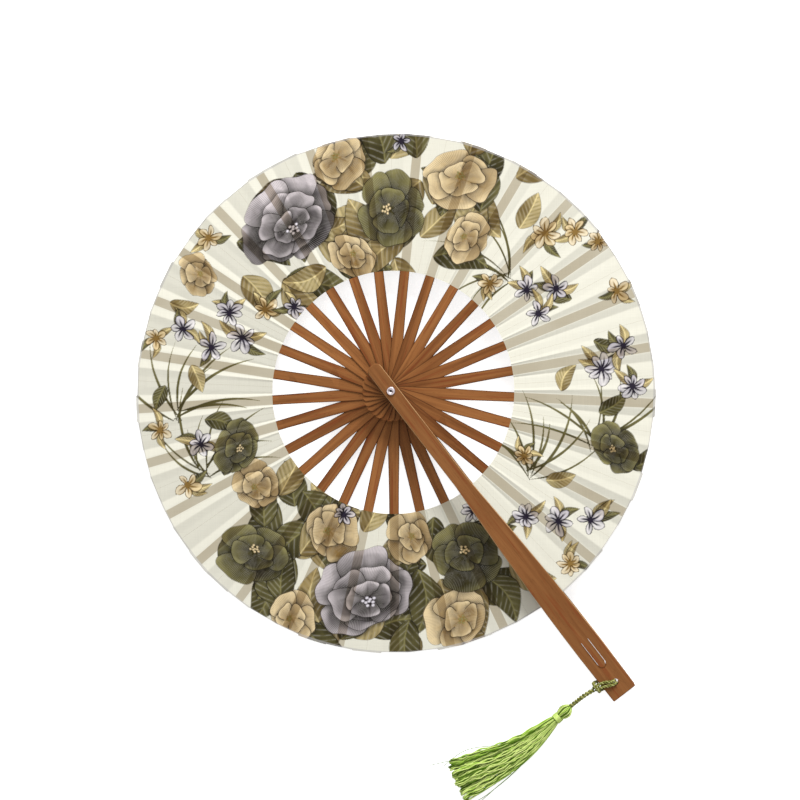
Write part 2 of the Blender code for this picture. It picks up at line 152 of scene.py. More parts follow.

# The tassel, from the hole in the guard to the ends of its threads. The kinds are the indices of
# the yarns' two materials, pale and deep, or of the threads' three, one green thread painted lit,
# plain and painted in shade. The cord goes on inside the head along the tassel's route, at its
# points CORD_END.
ROUTE_STEP = 0.0004
CORD_END = slice(8, 40, 6)
YARN_KINDS = (0, 0, 0, 1, 1, 1, 0, 1)
LOOP_RADIUS = 0.00125
LOOP_TWIST = 0.0042
LOOP_ROUTE = (
    (0.14418, -0.21229, 0.01896), (0.14680, -0.21029, 0.01916), (0.15117, -0.20842, 0.01892),
    (0.15596, -0.20776, 0.01883), (0.15871, -0.20724, 0.01799), (0.15929, -0.20684, 0.01618),
    (0.15849, -0.20712, 0.01429), (0.15484, -0.20762, 0.01366), (0.14968, -0.20781, 0.01377),
    (0.14601, -0.20828, 0.01454), (0.14441, -0.20899, 0.01685), (0.14441, -0.20949, 0.01964),
    (0.14549, -0.21089, 0.02138), (0.14732, -0.21326, 0.02127), (0.14832, -0.21456, 0.01941),
    (0.14867, -0.21453, 0.01660), (0.15021, -0.21374, 0.01428), (0.15347, -0.21272, 0.01354),
    (0.15740, -0.21095, 0.01350), (0.16001, -0.20909, 0.01420), (0.16063, -0.20858, 0.01610),
    (0.15999, -0.20890, 0.01791), (0.15739, -0.20994, 0.01874), (0.15290, -0.21100, 0.01881),
    (0.14820, -0.21211, 0.01908), (0.14552, -0.21403, 0.01888),
)
HITCH = (0.144293, -0.213591, 0.018924)
CORD_RADIUS = 0.0017
CORD_TWIST = 0.0056
CORD_STEPS = (
    (0.0, 0.0), (-0.0018, -0.0010), (-0.0058, -0.0035), (-0.0094, -0.0064), (-0.0124, -0.0091),
    (-0.0146, -0.0111), (-0.0160, -0.0124),
)
CORD_DROP_SHARES = (0.0, 0.0, 0.11, 0.40, 0.70, 0.91, 0.98)
TASSEL_HEIGHT = 0.0095
TASSEL_STEPS = (
    (0.0, 0.0), (-0.0103, -0.0091), (-0.0313, -0.0272), (-0.0486, -0.0382), (-0.0665, -0.0467),
    (-0.0851, -0.0553),
)
HEAD_SEED = 21
HEAD_STEPS = 22
HEAD_LAYER = 0.0009
HEAD_LEAN = 0.35
HEAD_PUFFS = (-0.0010, 0.0005)
HEAD_START = 0.0007
HEAD_LENGTH = 0.0105
HEAD_SHAPE = ((0.0, 0.0016), (0.12, 0.0034), (0.42, 0.0050), (0.72, 0.0045), (1.0, 0.0030))
BINDING_START = 0.0110
BINDING_LENGTH = 0.0036
BINDING_RADIUS = 0.0035
BINDING_TURNS = 6
SKIRT_SEED = 5
SKIRT_STEPS = 44
SKIRT_START = 0.0146
SKIRT_NECK_RADIUS = 0.0029
SKIRT_END_HALF_WIDTH = 0.0170
SKIRT_HALF_HEIGHT = 0.0042
SKIRT_LOCKS = 36
LOCK_RADIUS = 0.0017
LOCK_TURN_SHARE = 0.381966
CRIMP = 0.0006
CRIMP_PITCHES = (0.009, 0.017)
# How far the locks wander, and how much shorter than the skirt their ends and the threads' are.
LOCK_DRIFT = 0.02
SKIRT_END_GAP = 0.0008
LOCK_END_SPREAD = 0.0022
THREAD_END_SPREAD = 0.0011
# A thread is above or below by its steps past the neck, and draws its kind from these:
# the upper ones mostly painted light, the lower ones more painted shade.
OUTER_SKIRT = slice(12, None)
UPPER_KINDS = (0, 0, 0, 0, 1, 2)
LOWER_KINDS = (0, 1, 2, 2)
STRAY_LENGTH = 0.010
STRAY_TAPER = 0.42
# Distance along the tassel, sideways and up at each step of a stray thread.
STRAY_THREADS = (
    ((0.016, 0.0, 0.002), (0.050, -0.008, 0.006), (0.082, -0.0172, 0.005), (0.104, -0.0132, 0.001)),
    ((0.016, 0.0, 0.002), (0.060, -0.0100, 0.005), (0.094, -0.0146, 0.003), (0.114, -0.0180, 0.0)),
    ((0.016, 0.0, 0.0), (0.060, 0.0120, 0.002), (0.086, 0.0185, 0.001), (0.104, 0.0190, -0.002)),
    ((0.016, 0.0, 0.0), (0.064, 0.0128, 0.002), (0.088, 0.0200, 0.001), (0.098, 0.0236, -0.001)),
)

# The camera and the stage. A lamp is its place, its size and its share of the lamp power.
CAMERA_DISTANCE = 1.4
CAMERA_TURN = math.radians(4.34)
CAMERA_TILT = math.radians(-2.83)
CAMERA_AIM = (0.0057, -0.0059, 0.016)
CAMERA_SENSOR = 0.036
VIEW_WIDTH = 0.5801
FLOOR_HALF_SIZE = 4.0
FLOOR_GAP = 0.0002
FLOOR_GLOW = 0.75
LAMPS = {
    "main_lamp": ((0.6, 2.9, 1.7), 1.8, 1.0),
    "front_lamp": ((-0.5, 0.2, 1.9), 1.2, 0.03),
}


def linear(red, green, blue):
    """Scene colour of a display colour from 0 to 255."""
    shares = [value / 255.0 for value in (red, green, blue)]
    return [s / 12.92 if s <= 0.04045 else ((s + 0.055) / 1.055) ** 2.4 for s in shares]


def colour_property(name, description, red, green, blue):
    """Colour setting with its default as a display colour."""
    return FloatVectorProperty(
        name=name, description=description, default=linear(red, green, blue),
        subtype="COLOR", size=3, min=0.0, max=1.0,
    )


class FanSizes(bpy.types.PropertyGroup):
    """Sizes and counts of the pieces that are modelled here."""

    silk_thickness: FloatProperty(
        name="Silk thickness", description="Thickness of the leaf", default=0.00005,
        min=0.00002, max=0.0003, unit="LENGTH",
    )
    pleat_rise_share: FloatProperty(
        name="Pleat rise", description="Height of a crease as a share of half a facet",
        default=0.095, min=0.0, max=0.12,
    )
    bamboo_ease: FloatProperty(
        name="Bamboo edge", description="Width of the rounding along the blades", default=0.00024,
        min=0.0, max=0.0003, unit="LENGTH",
    )
    thread_radius: FloatProperty(
        name="Thread radius", description="Radius of a tassel thread", default=0.00049,
        min=0.0001, max=0.001, unit="LENGTH",
    )
    skirt_threads: IntProperty(
        name="Skirt threads", description="Number of threads in the skirt", default=252,
        min=20, max=800,
    )
    head_threads: IntProperty(
        name="Head threads", description="Number of threads in each of the head's two layers",
        default=26, min=12, max=90,
    )
    print_seed: IntProperty(
        name="Print seed", description="Seed of the small variations of the print", default=7,
        min=0,
    )
    lamp_power: FloatProperty(
        name="Lamp power", description="Power of the main lamp in watts", default=124.0, min=0.0,
    )
    fill_strength: FloatProperty(
        name="Fill strength", description="Strength of the even light all round", default=0.37,
        min=0.0,
    )


class FanColours(bpy.types.PropertyGroup):
    """Colours of the finishes and of the print."""

    silk: colour_property("Silk", "Plain silk", 243, 240, 224)
    # Painted shade where a rib lies behind the silk.
    rib_shadow: colour_property("Rib shadow", "Silk with a rib behind it", 184, 174, 158)
    hem: colour_property("Hem", "Turned edge at the rim", 188, 186, 188)
    violet_dark: colour_property("Violet, dark", "Roots of violet petals", 34, 27, 27)
    violet_light: colour_property("Violet, light", "Tips of violet petals", 224, 214, 216)
    olive_dark: colour_property("Olive, dark", "Roots of olive petals and leaves", 44, 38, 6)
    olive_light: colour_property("Olive, light", "Tips of olive petals and leaves", 146, 139, 90)
    ochre_dark: colour_property("Ochre, dark", "Roots of ochre petals", 146, 114, 60)
    ochre_light: colour_property("Ochre, light", "Tips of ochre petals", 250, 225, 176)
    tan_dark: colour_property("Tan, dark", "Roots of tan leaves", 104, 82, 34)
    tan_light: colour_property("Tan, light", "Tips of tan leaves", 240, 220, 160)
    blossom_line: colour_property("Blossom line", "Drawn lines of the small blossoms", 40, 34, 48)
    blossom_fill: colour_property("Blossom fill", "Petals of the small blossoms", 236, 230, 238)
    bamboo_light: colour_property("Bamboo, light", "Light fibres of the bamboo", 170, 112, 64)
    bamboo_dark: colour_property("Bamboo, dark", "Dark fibres of the bamboo", 84, 41, 14)
    guard_light: colour_property("Guard, light", "Light fibres of the guards", 155, 103, 60)
    guard_dark: colour_property("Guard, dark", "Dark fibres of the guards", 103, 58, 28)
    bamboo_streak: colour_property("Bamboo streak", "Reddish streaks along the grain", 136, 66, 34)
    # Colour of the dark flecks, and of the painted shade on the blades' sides and near their edges.
    bamboo_fleck_and_shade: colour_property("Bamboo edge", "Cut sides of the blades", 54, 24, 5)
    # The light and dark thread colours are one green thread, painted lit and painted in shade.
    thread_painted_lit: colour_property("Thread, light", "Light side of tassel threads", 250, 255, 174)
    thread_green: colour_property("Thread", "Tassel threads", 204, 242, 110)
    thread_shaded: colour_property("Thread, dark", "Deep threads of the tassel", 108, 148, 34)
    cord_pale: colour_property("Cord", "Twisted loop and cord", 222, 222, 152)
    cord_deep: colour_property("Cord, deep", "Deep yarns of the loop and cord", 150, 152, 70)
    steel: colour_property("Steel", "Rivet", 200, 190, 194)


def sizes():
    """The size settings."""
    return bpy.context.scene.fan_sizes


def colours():
    """The colour settings."""
    return bpy.context.scene.fan_colours


def rgba(colour):
    """Colour with full cover, for a node socket."""
    return (*colour, 1.0)


# Materials


class Nodes:
    """A node tree, with a short call for each kind of node that the finishes use."""

    def __init__(self, tree):
        self.tree = tree

    def add(self, kind, inputs=None, **settings):
        """Outputs of a new node, its sockets fed from other nodes or set to values."""
        node = self.tree.nodes.new(kind)
        for name, value in settings.items():
            setattr(node, name, value)
        for key, value in (inputs or {}).items():
            if isinstance(value, bpy.types.NodeSocket):
                self.tree.links.new(value, node.inputs[key])
            else:
                node.inputs[key].default_value = value
        return node.outputs

    def math(self, how, *values):
        """Result of a Math node."""
        return self.add("ShaderNodeMath", dict(enumerate(values)), operation=how)[0]

    def chain(self, how, first, *more):
        """Values joined one after another by the same kind of Math node."""
        for value in more:
            first = self.math(how, first, value)
        return first

    def times(self, *values):
        """Product of values."""
        return self.chain("MULTIPLY", *values)

    def mix(self, share, first, second, how="MIX"):
        """Result of a colour mix."""
        inputs = {0: share, 6: first, 7: second}
        return self.add("ShaderNodeMix", inputs, data_type="RGBA", blend_type=how)[2]

    def ramp(self, value, low, high, start=0.0, end=1.0, how="SMOOTHSTEP"):
        """A value between two limits as a step from start to end."""
        inputs = {"Value": value, "From Min": low, "From Max": high, "To Min": start, "To Max": end}
        return self.add("ShaderNodeMapRange", inputs, interpolation_type=how)["Result"]

    def noise(self, vector, scale, detail, roughness):
        """Noise of a vector that is first scaled by three factors."""
        scaled = self.add("ShaderNodeVectorMath", {0: vector, 1: scale}, operation="MULTIPLY")[0]
        inputs = {"Vector": scaled, "Scale": 1.0, "Detail": detail, "Roughness": roughness}
        return self.add("ShaderNodeTexNoise", inputs)["Fac"]

    def axes(self, vector):
        """The three parts of a vector."""
        return self.add("ShaderNodeSeparateXYZ", {0: vector})

    def flatness(self, normal):
        """1 where a face looks up or down, 0 where it looks sideways."""
        return self.math("ABSOLUTE", self.axes(normal)["Z"])

    def attribute(self, name):
        """Value of one of the mesh's attributes."""
        return self.add("ShaderNodeAttribute", attribute_name=name)["Fac"]

    def group(self, name, inputs):
        """Outputs of a shared node group."""
        return self.add("ShaderNodeGroup", inputs, node_tree=bpy.data.node_groups[name])

    def rays(self, *kinds):
        """1 for rays of these kinds, 0 for all others."""
        path = self.add("ShaderNodeLightPath")
        return self.chain("MAXIMUM", *[path[f"Is {kind} Ray"] for kind in kinds])

    def surface(self, inputs, bump=()):
        """Principled shader, with a bump from a height, its strength and its distance."""
        if bump:
            height = dict(zip(("Height", "Strength", "Distance"), bump))
            inputs["Normal"] = self.add("ShaderNodeBump", height)[0]
        shader = self.add("ShaderNodeBsdfPrincipled", inputs)[0]
        self.add("ShaderNodeOutputMaterial", {"Surface": shader})


def new_group(name, inputs, outputs):
    """Nodes of a new group, and what it is given. Sockets are names with their kinds."""
    tree = bpy.data.node_groups.new(name, "ShaderNodeTree")
    for side, sockets in (("INPUT", inputs), ("OUTPUT", outputs)):
        for label, kind in sockets.items():
            tree.interface.new_socket(name=label, in_out=side, socket_type=f"NodeSocket{kind}")
    nodes = Nodes(tree)
    return nodes, nodes.add("NodeGroupInput")


def new_material(name):
    """Empty material and its nodes."""
    material = bpy.data.materials.new(name)
    material.use_nodes = True
    material.node_tree.nodes.clear()
    return material, Nodes(material.node_tree)


def make_bamboo_group():
    """Grain of split bamboo: fibres, broad streaks and short dark flecks, with painted shade on the
    sides and near the long edges, and a painted highlight along the guards' edges.
    """
    nodes, given = new_group(
        "bamboo_grain",
        {
            "Along": "Vector", "Surface Normal": "Vector", "Light": "Color", "Dark": "Color",
            "Streak": "Color", "Side": "Color", "Tone": "Float", "Edge distance": "Float",
            "Edge glint": "Float",
        },
        {"Color": "Color", "Roughness": "Float", "Height": "Float"},
    )
    along, side = given["Along"], given["Side"]
    fibres = nodes.noise(along, FIBRE_SCALE, 4.0, 0.6)
    bands = nodes.noise(along, BAND_SCALE, 2.0, 0.5)
    streaks = nodes.noise(along, STREAK_SCALE, 2.0, 0.5)
    flecks = nodes.noise(along, FLECK_SCALE, 2.0, 0.7)
    share = nodes.math("MULTIPLY_ADD", bands, 1.3, -0.15)
    share = nodes.math("MULTIPLY_ADD", fibres, 0.5, nodes.math("ADD", share, -0.55))
    share = nodes.math("ADD", share, given["Tone"])
    colour = nodes.mix(share, given["Dark"], given["Light"])
    colour = nodes.mix(nodes.ramp(streaks, 0.52, 0.70, 0.0, 0.55), colour, given["Streak"])
    colour = nodes.mix(nodes.ramp(flecks, 0.60, 0.72, 0.0, 0.45), colour, side)
    # Painted shade: faces that look sideways, and points near the long edges, go towards the fleck
    # colour.
    flat = nodes.flatness(given["Surface Normal"])
    colour = nodes.mix(nodes.ramp(flat, 0.25, 0.8, 0.8, 0.0), colour, side)
    rim = nodes.math("MULTIPLY_ADD", fibres, 0.0009, given["Edge distance"])
    colour = nodes.mix(nodes.ramp(rim, *SHADED_EDGE, 0.88, 0.0), colour, side)
    # Painted highlight: a light band along the long edges, on faces that look up.
    glinting = nodes.times(
        nodes.ramp(rim, *GLINT_EDGE, 1.0, 0.0), given["Edge glint"], nodes.ramp(flat, 0.3, 0.6)
    )
    nodes.add("NodeGroupOutput", {
        "Color": nodes.mix(glinting, colour, GLINTING_BAMBOO),
        "Roughness": nodes.ramp(fibres, 0.2, 0.8, 0.34, 0.52),
        "Height": nodes.math("MULTIPLY_ADD", flecks, -0.6, fibres),
    })


def make_silk_group():
    """Plain silk: crossing threads, slubs and a soft unevenness of tone."""
    nodes, given = new_group(
        "silk_weave",
        {"Cloth": "Vector", "Threads per metre": "Float"},
        {"Tone": "Float", "Height": "Float", "Cloud": "Float"},
    )
    cloth = given["Cloth"]
    turns = nodes.times(given["Threads per metre"], math.tau)
    warp, weft = [nodes.math("SINE", nodes.times(axis, turns)) for axis in nodes.axes(cloth)[:2]]
    slubs = nodes.chain("ADD", *[nodes.noise(cloth, scale, 2.0, 0.6) for scale in SLUB_SCALES])
    nodes.add("NodeGroupOutput", {
        "Tone": nodes.ramp(slubs, 0.7, 1.3, 0.955, 1.02),
        "Height": nodes.math("MULTIPLY_ADD", nodes.times(warp, weft), 0.25, slubs),
        "Cloud": nodes.noise(cloth, CLOUD_SCALE, 3.0, 0.5),
    })


def make_thread_group():
    """Thread: fine fibres, broad changes of tone, and painted shade down its sides."""
    nodes, given = new_group(
        "thread_fibres",
        {"Place": "Vector", "Surface Normal": "Vector", "Light": "Color", "Dark": "Color"},
        {"Color": "Color", "Height": "Float"},
    )
    fine = nodes.noise(given["Place"], THREAD_FIBRE_SCALE, 3.0, 0.65)
    broad = nodes.noise(given["Place"], THREAD_TONE_SCALE, 2.0, 0.5)
    share = nodes.math("MULTIPLY_ADD", broad, 0.9, -0.3)
    share = nodes.math("MULTIPLY_ADD", fine, 0.7, share)
    colour = nodes.mix(share, given["Dark"], given["Light"])
    # Painted shade: where the surface looks sideways, the colour goes towards a darker copy of
    # Dark.
    side = nodes.ramp(nodes.flatness(given["Surface Normal"]), 0.2, 0.8, 0.7, 0.0)
    deep = nodes.mix(1.0, given["Dark"], THREAD_SIDE_SHADE, "MULTIPLY")
    nodes.add("NodeGroupOutput", {"Color": nodes.mix(side, colour, deep), "Height": fine})


def drawn_ink(nodes, cloth, ink):
    """Ink with its pale and deep strokes, and the outline round each printed shape."""
    broken = nodes.noise(cloth, STROKE_BREAK_SCALE, 3.0, 0.6)
    wave = nodes.math("SINE", nodes.times(nodes.attribute("hatch"), math.tau))
    drawn = nodes.times(nodes.attribute("hatch_share"), nodes.ramp(broken, 0.34, 0.56, 0.15, 1.0))
    ink = nodes.mix(nodes.times(nodes.ramp(wave, 0.4, 1.0, 0.0, 0.42), drawn), ink, PALE_STROKE)
    ink = nodes.mix(nodes.times(nodes.ramp(wave, -1.0, 0.0, 0.72, 0.0), drawn), ink, DEEP_STROKE)
    line = nodes.math("ABSOLUTE", nodes.attribute("line_distance"))
    line = nodes.math("MULTIPLY_ADD", broken, 0.00024, line)
    outlined = nodes.times(
        nodes.ramp(line, *OUTLINE_EDGE, 0.92, 0.0),
        nodes.ramp(nodes.attribute("line_near"), 0.8, 0.95),
    )
    return nodes.mix(outlined, ink, OUTLINE_SHADE, "MULTIPLY")


def silk_material(name, ink_share, rib_shade_share):
    """Printed silk. The front shows the print and painted shade where a rib lies behind it, the
    back a fainter print.
    """
    shade = colours()
    material, nodes = new_material(name)
    cloth = nodes.add("ShaderNodeUVMap", uv_map="cloth")[0]
    weave = nodes.group("silk_weave", {"Cloth": cloth, "Threads per metre": SILK_THREADS_PER_METRE})
    cloud = nodes.ramp(weave["Cloud"], 0.35, 0.7, 0.0, 0.10)
    plain = nodes.mix(cloud, rgba(shade.silk), CLOUDED_SILK)
    ink = nodes.add("ShaderNodeAttribute", attribute_name="print")
    inked = drawn_ink(nodes, cloth, ink["Color"])
    printed = nodes.mix(nodes.times(ink["Alpha"], ink_share), plain, inked)
    tone = nodes.add("ShaderNodeCombineColor", dict.fromkeys(range(3), weave["Tone"]))[0]
    toned = nodes.mix(1.0, printed, tone, "MULTIPLY")
    reach = nodes.attribute("reach")
    across = nodes.math("ABSOLUTE", nodes.attribute("blade_offset"))
    # Painted shade of the rib behind the silk, uneven along it, fading out at the rib's end.
    behind = nodes.times(
        nodes.ramp(across, *RIB_SIDE, rib_shade_share, 0.0),
        nodes.ramp(reach, *RIB_END, 1.0, 0.0),
        nodes.ramp(nodes.noise(cloth, RIB_SHADE_NOISE_SCALE, 2.0, 0.5), 0.3, 0.7, 0.82, 1.0),
    )
    rib_shade = rgba([part / SILK_LIGHTNESS for part in shade.rib_shadow])
    shadowed = nodes.mix(behind, toned, rib_shade, "MULTIPLY")
    hem = nodes.ramp(reach, *HEM_EDGE, 0.0, 0.5)
    nodes.surface(
        {
            "Base Color": nodes.mix(hem, shadowed, rgba(shade.hem)),
            "Roughness": nodes.ramp(weave["Cloud"], 0.3, 0.7, 0.5, 0.62),
            "Specular IOR Level": 0.08, "Sheen Weight": 0.015, "Sheen Roughness": 0.4,
        },
        bump=(weave["Height"], 0.12, 0.00008),
    )
    return material


def edge_distance(nodes, along, across, widths):
    """How far a point of a blade is from its long edges, by half widths at three reaches."""
    (x_0, y_0), (x_1, y_1), (x_2, y_2) = widths
    first = nodes.ramp(along, x_0, x_1, y_0, y_1, "LINEAR")
    second = nodes.ramp(along, x_1, x_2, 0.0, y_2 - y_1, "LINEAR")
    half_width = nodes.math("ADD", first, second)
    return nodes.math("SUBTRACT", half_width, nodes.math("ABSOLUTE", across))


def bamboo_material(name, bearing, place, tone, widths, fibres, edge_glint):
    """Bamboo with its grain along a blade at that bearing, cut from its own place in the grain."""
    shade = colours()
    material, nodes = new_material(name)
    where = nodes.add("ShaderNodeTexCoord")
    grain_place = nodes.add("ShaderNodeMapping", {
        "Vector": where["Object"], "Location": (place, 0.0, place * 0.37),
        "Rotation": (0.0, 0.0, -bearing),
    })[0]
    axes = nodes.axes(grain_place)
    along = nodes.math("SUBTRACT", axes["X"], place)
    grain = nodes.group("bamboo_grain", {
        "Along": grain_place, "Surface Normal": where["Normal"],
        "Edge distance": edge_distance(nodes, along, axes["Y"], widths),
        "Light": rgba(fibres[0]), "Dark": rgba(fibres[1]), "Streak": rgba(shade.bamboo_streak),
        "Side": rgba(shade.bamboo_fleck_and_shade), "Tone": tone, "Edge glint": edge_glint,
    })
    nodes.surface(
        {"Base Color": grain["Color"], "Roughness": grain["Roughness"], "Specular IOR Level": 0.07},
        bump=(grain["Height"], 0.25, 0.00006),
    )
    return material


def thread_material(name, light, dark, sheen):
    """Smooth dyed thread."""
    material, nodes = new_material(name)
    where = nodes.add("ShaderNodeTexCoord")
    fibres = nodes.group("thread_fibres", {
        "Place": where["Object"], "Surface Normal": where["Normal"],
        "Light": rgba(light), "Dark": rgba(dark),
    })
    nodes.surface(
        {
            "Base Color": fibres["Color"], "Roughness": 0.42, "Specular IOR Level": 0.10,
            "Sheen Weight": sheen, "Sheen Roughness": 0.35,
        },
        bump=(fibres["Height"], 0.35, 0.00008),
    )
    return material


def steel_material():
    """Bright turned steel: fine rings and tarnish, with painted shade in a dish round the bore,
    strongest to its left and right as a painted reflection, and the bore painted nearly black.
    """
    material, nodes = new_material("rivet_steel")
    place = nodes.add("ShaderNodeTexCoord")["Object"]
    x, y = nodes.axes(place)[:2]
    away = nodes.math("MULTIPLY_ADD", y, y, nodes.math("POWER", x, 2.0))
    away = nodes.math("SQRT", away)
    rings = nodes.math("SINE", nodes.times(away, RING_TURNS))
    scuffs = nodes.noise(place, SCUFF_SCALE, 3.0, 0.6)
    steel = nodes.mix(nodes.ramp(scuffs, 0.35, 0.75, 0.0, 0.35), rgba(colours().steel), TARNISH)
    # Painted reflection and shade: the dish darkest left and right of the bore, the bore near
    # black.
    lean = nodes.math("DIVIDE", nodes.math("MULTIPLY_ADD", x, 0.45, y), away)
    dish = nodes.times(
        nodes.ramp(away, *DISH_EDGE, 1.0, 0.25),
        nodes.ramp(nodes.math("ABSOLUTE", lean), 0.25, 0.8, 0.85, 0.0),
    )
    bore = nodes.ramp(away, *BORE_EDGE, 0.95, 0.0)
    nodes.surface(
        {
            "Base Color": nodes.mix(bore, nodes.mix(dish, steel, DISH_SHADE), BORE_SHADE),
            "Roughness": nodes.ramp(scuffs, 0.3, 0.8, 0.18, 0.4), "Metallic": 1.0,
        },
        bump=(nodes.math("MULTIPLY_ADD", rings, 0.2, scuffs), 0.15, 0.00003),
    )
    return material


# Shapes


def new_object(name, mesh, materials):
    """Object of a mesh, in the scene, with its materials."""
    made = bpy.data.objects.new(name, mesh)
    bpy.context.scene.collection.objects.link(made)
    for material in materials:
        mesh.materials.append(material)
    return made


def new_piece(mesh, materials, body, node):
    """Smooth piece of the fan that rides on a body and stands for a CAD node."""
    piece = new_object(mesh.name, mesh, materials)
    mesh.shade_smooth()
    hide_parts(node)
    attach(piece, body)
    return piece


def mesh_of(bm, name):
    """Mesh of a bmesh, which is then freed."""
    mesh = bpy.data.meshes.new(name)
    bm.to_mesh(mesh)
    bm.free()
    return mesh


def smooth_route(points, steps):
    """Curve through the points, with that many steps between two."""
    points = [Vector(point) for point in points]
    ends = [2 * points[0] - points[1]] + points + [2 * points[-1] - points[-2]]
    route = []
    for a, b, c, d in zip(ends, ends[1:], ends[2:], ends[3:]):
        for step in range(steps):
            t = step / steps
            route.append(
                0.5 * (2 * b + (c - a) * t + (2 * a - 5 * b + 4 * c - d) * t * t
                       + (3 * b - a - 3 * c + d) * t**3)
            )
    return route + [points[-1]]


def distances_along(route):
    """Distance from a route's start to each of its points."""
    steps = np.linalg.norm(np.diff(route, axis=0), axis=1)
    return np.concatenate([[0.0], np.cumsum(steps)])


def along_route(route, distances, values):
    """Values at a route's points, read at distances along it."""
    along = distances_along(route)
    return np.stack([np.interp(distances, along, values[:, axis]) for axis in range(3)], axis=1)


def respaced(route):
    """The route again with points about ROUTE_STEP apart."""
    points = np.array([tuple(point) for point in route])
    length = distances_along(points)[-1]
    distances = np.linspace(0.0, length, max(3, int(length / ROUTE_STEP) + 1))
    return along_route(points, distances, points)


def side_vectors(route):
    """Two vectors across the route at each of its points, carried along without twist."""
    run = np.gradient(route, axis=0)
    run /= np.linalg.norm(run, axis=1)[:, None]
    first = np.cross(run[0], (0.0, 0.0, 1.0))
    if np.linalg.norm(first) < 0.1:
        first = np.cross(run[0], (0.0, 1.0, 0.0))
    across = [first / np.linalg.norm(first)]
    for direction in run[1:]:
        carried = across[-1] - direction * (across[-1] @ direction)
        across.append(carried / np.linalg.norm(carried))
    across = np.array(across)
    return across, np.cross(run, across)


def twisted(route, count, away, pitch):
    """Strands that wind round a route at a distance from it, one turn in each pitch."""
    along = distances_along(route)
    across, up = side_vectors(route)
    strands = []
    for strand in range(count):
        angle = math.tau * (along / pitch + strand / count)
        beside = across * np.cos(angle)[:, None] + up * np.sin(angle)[:, None]
        strands.append(route + away * beside)
    return strands


def strands_mesh(name, strands, radius, kinds, taper=None):
    """Closed tubes along many routes, in one mesh. A kind is the index of a strand's material."""
    curve = bpy.data.curves.new(name, "CURVE")
    curve.dimensions = "3D"
    curve.bevel_depth = radius
    curve.bevel_resolution = 1
    curve.use_fill_caps = True
    # A spline takes a material index only where the curve has that slot already.
    for _ in range(max(kinds) + 1):
        curve.materials.append(None)
    for index, strand in enumerate(strands):
        spline = curve.splines.new("POLY")
        spline.points.add(len(strand) - 1)
        flat = np.ones((len(strand), 4))
        flat[:, :3] = strand
        spline.points.foreach_set("co", flat.ravel())
        if taper is not None:
            spline.points.foreach_set("radius", taper[index])
        spline.material_index = kinds[index]
        spline.use_smooth = True
    holder = bpy.data.objects.new(name, curve)
    mesh = bpy.data.meshes.new_from_object(holder)
    bpy.data.objects.remove(holder)
    bpy.data.curves.remove(curve)
    # Clearing the empty slots would set every face back to the first material.
    slots = np.zeros(len(mesh.polygons), np.int32)
    mesh.polygons.foreach_get("material_index", slots)
    mesh.materials.clear()
    mesh.polygons.foreach_set("material_index", slots)
    mesh.name = name
    bm = bmesh.new()
    bm.from_mesh(mesh)
    bmesh.ops.remove_doubles(bm, verts=bm.verts, dist=1e-7)
    bmesh.ops.recalc_face_normals(bm, faces=bm.faces)
    bm.to_mesh(mesh)
    bm.free()
    return mesh


# The leaf


def underside(level, reach):
    """Height of a blade's underside at a distance from the rivet."""
    pitch = HUB_PITCH - PITCH_LOSS * reach / LEAF_OUTER_RADIUS
    return LOWEST_RIB_UNDERSIDE + (BAYS - 1 - level) * pitch


def leaf_seat(level, reach, thickness):
    """Height of the leaf's front where it is glued to a blade."""
    if level == 0:
        return underside(0, reach) - GLUE_LIFT
    if level == BAYS:
        return np.full_like(reach, BACK_GUARD_TOP + GLUE_LIFT + thickness)
    rib = RIB_HUB_THICKNESS - RIB_THICKNESS_LOSS * reach / LEAF_OUTER_RADIUS
    return underside(level, reach) + rib + GLUE_LIFT + thickness


def leaf_height(level, share, reach, thickness, rise_share):
    """Height of the leaf's front in the bay after a blade, at a share of the bay and a reach."""
    fold = BAY_ANGLE * FOLD_SHARE
    crease = reach * math.sin(fold) * rise_share
    flat = np.arcsin(RIB_SEAT_HALF_WIDTH / reach)
    here = leaf_seat(level, reach, thickness)
    after = leaf_seat(level + 1, reach, thickness)

    def risen(angle):
        """How far a point has risen from the flat seat on a blade to the crease."""
        return np.clip((angle - flat) / (fold - flat), 0.0, 1.0) ** FOLD_EASE

    first = here + crease * risen(share * BAY_ANGLE)
    last = after - crease * risen(BAY_ANGLE - share * BAY_ANGLE)
    turn = (share - FOLD_SHARE) / (1.0 - 2.0 * FOLD_SHARE)
    plain = here + crease + (after - here - 2.0 * crease) * turn
    folded = fold * (1.0 - 2.0 * turn)
    nested = after + NEST_LIFT + risen(folded) * (here + crease - after - NEST_LIFT)
    nested = nested - risen(-folded) * (crease + NEST_LIFT)
    middle = plain + NEST_SHARE * (nested - plain)
    return np.where(share < FOLD_SHARE, first, np.where(share > 1.0 - FOLD_SHARE, last, middle))


# The print's own measures: room for a stroke, spread of the ink at an edge, the reach of an
# outline's mark, the side that its flowers are lit from, how far each ring lies towards the side
# that its flower faces, and the beads of an eye. Rings are petals and share of the flower's size. A
# drawing is the petals' ruffle, the strength of their strokes and the depth of their shading.
LINE_PITCH = 0.0015
INK_SPREAD = 0.0003
FAR_FROM_LINES = 0.004
LINE_SPAN = 0.0009
LIT_BEARING = math.radians(125.0)
RING_SHIFT = 0.08
EYE_BEADS = 9
BEAD_SHARE = 0.034
STEM_STEPS = 70
OCHRE_DRAWING = (0.08, 0.85, 0.8)
OLIVE_DRAWING = (0.05, 0.9, 1.25)
VIOLET_DRAWING = (0.09, 1.0, 1.7)
OCHRE_RINGS = ((5, 1.0), (4, 0.60))
OLIVE_RINGS = ((6, 1.0), (4, 0.58))
VIOLET_RINGS = ((6, 1.0), (6, 0.72), (4, 0.42))


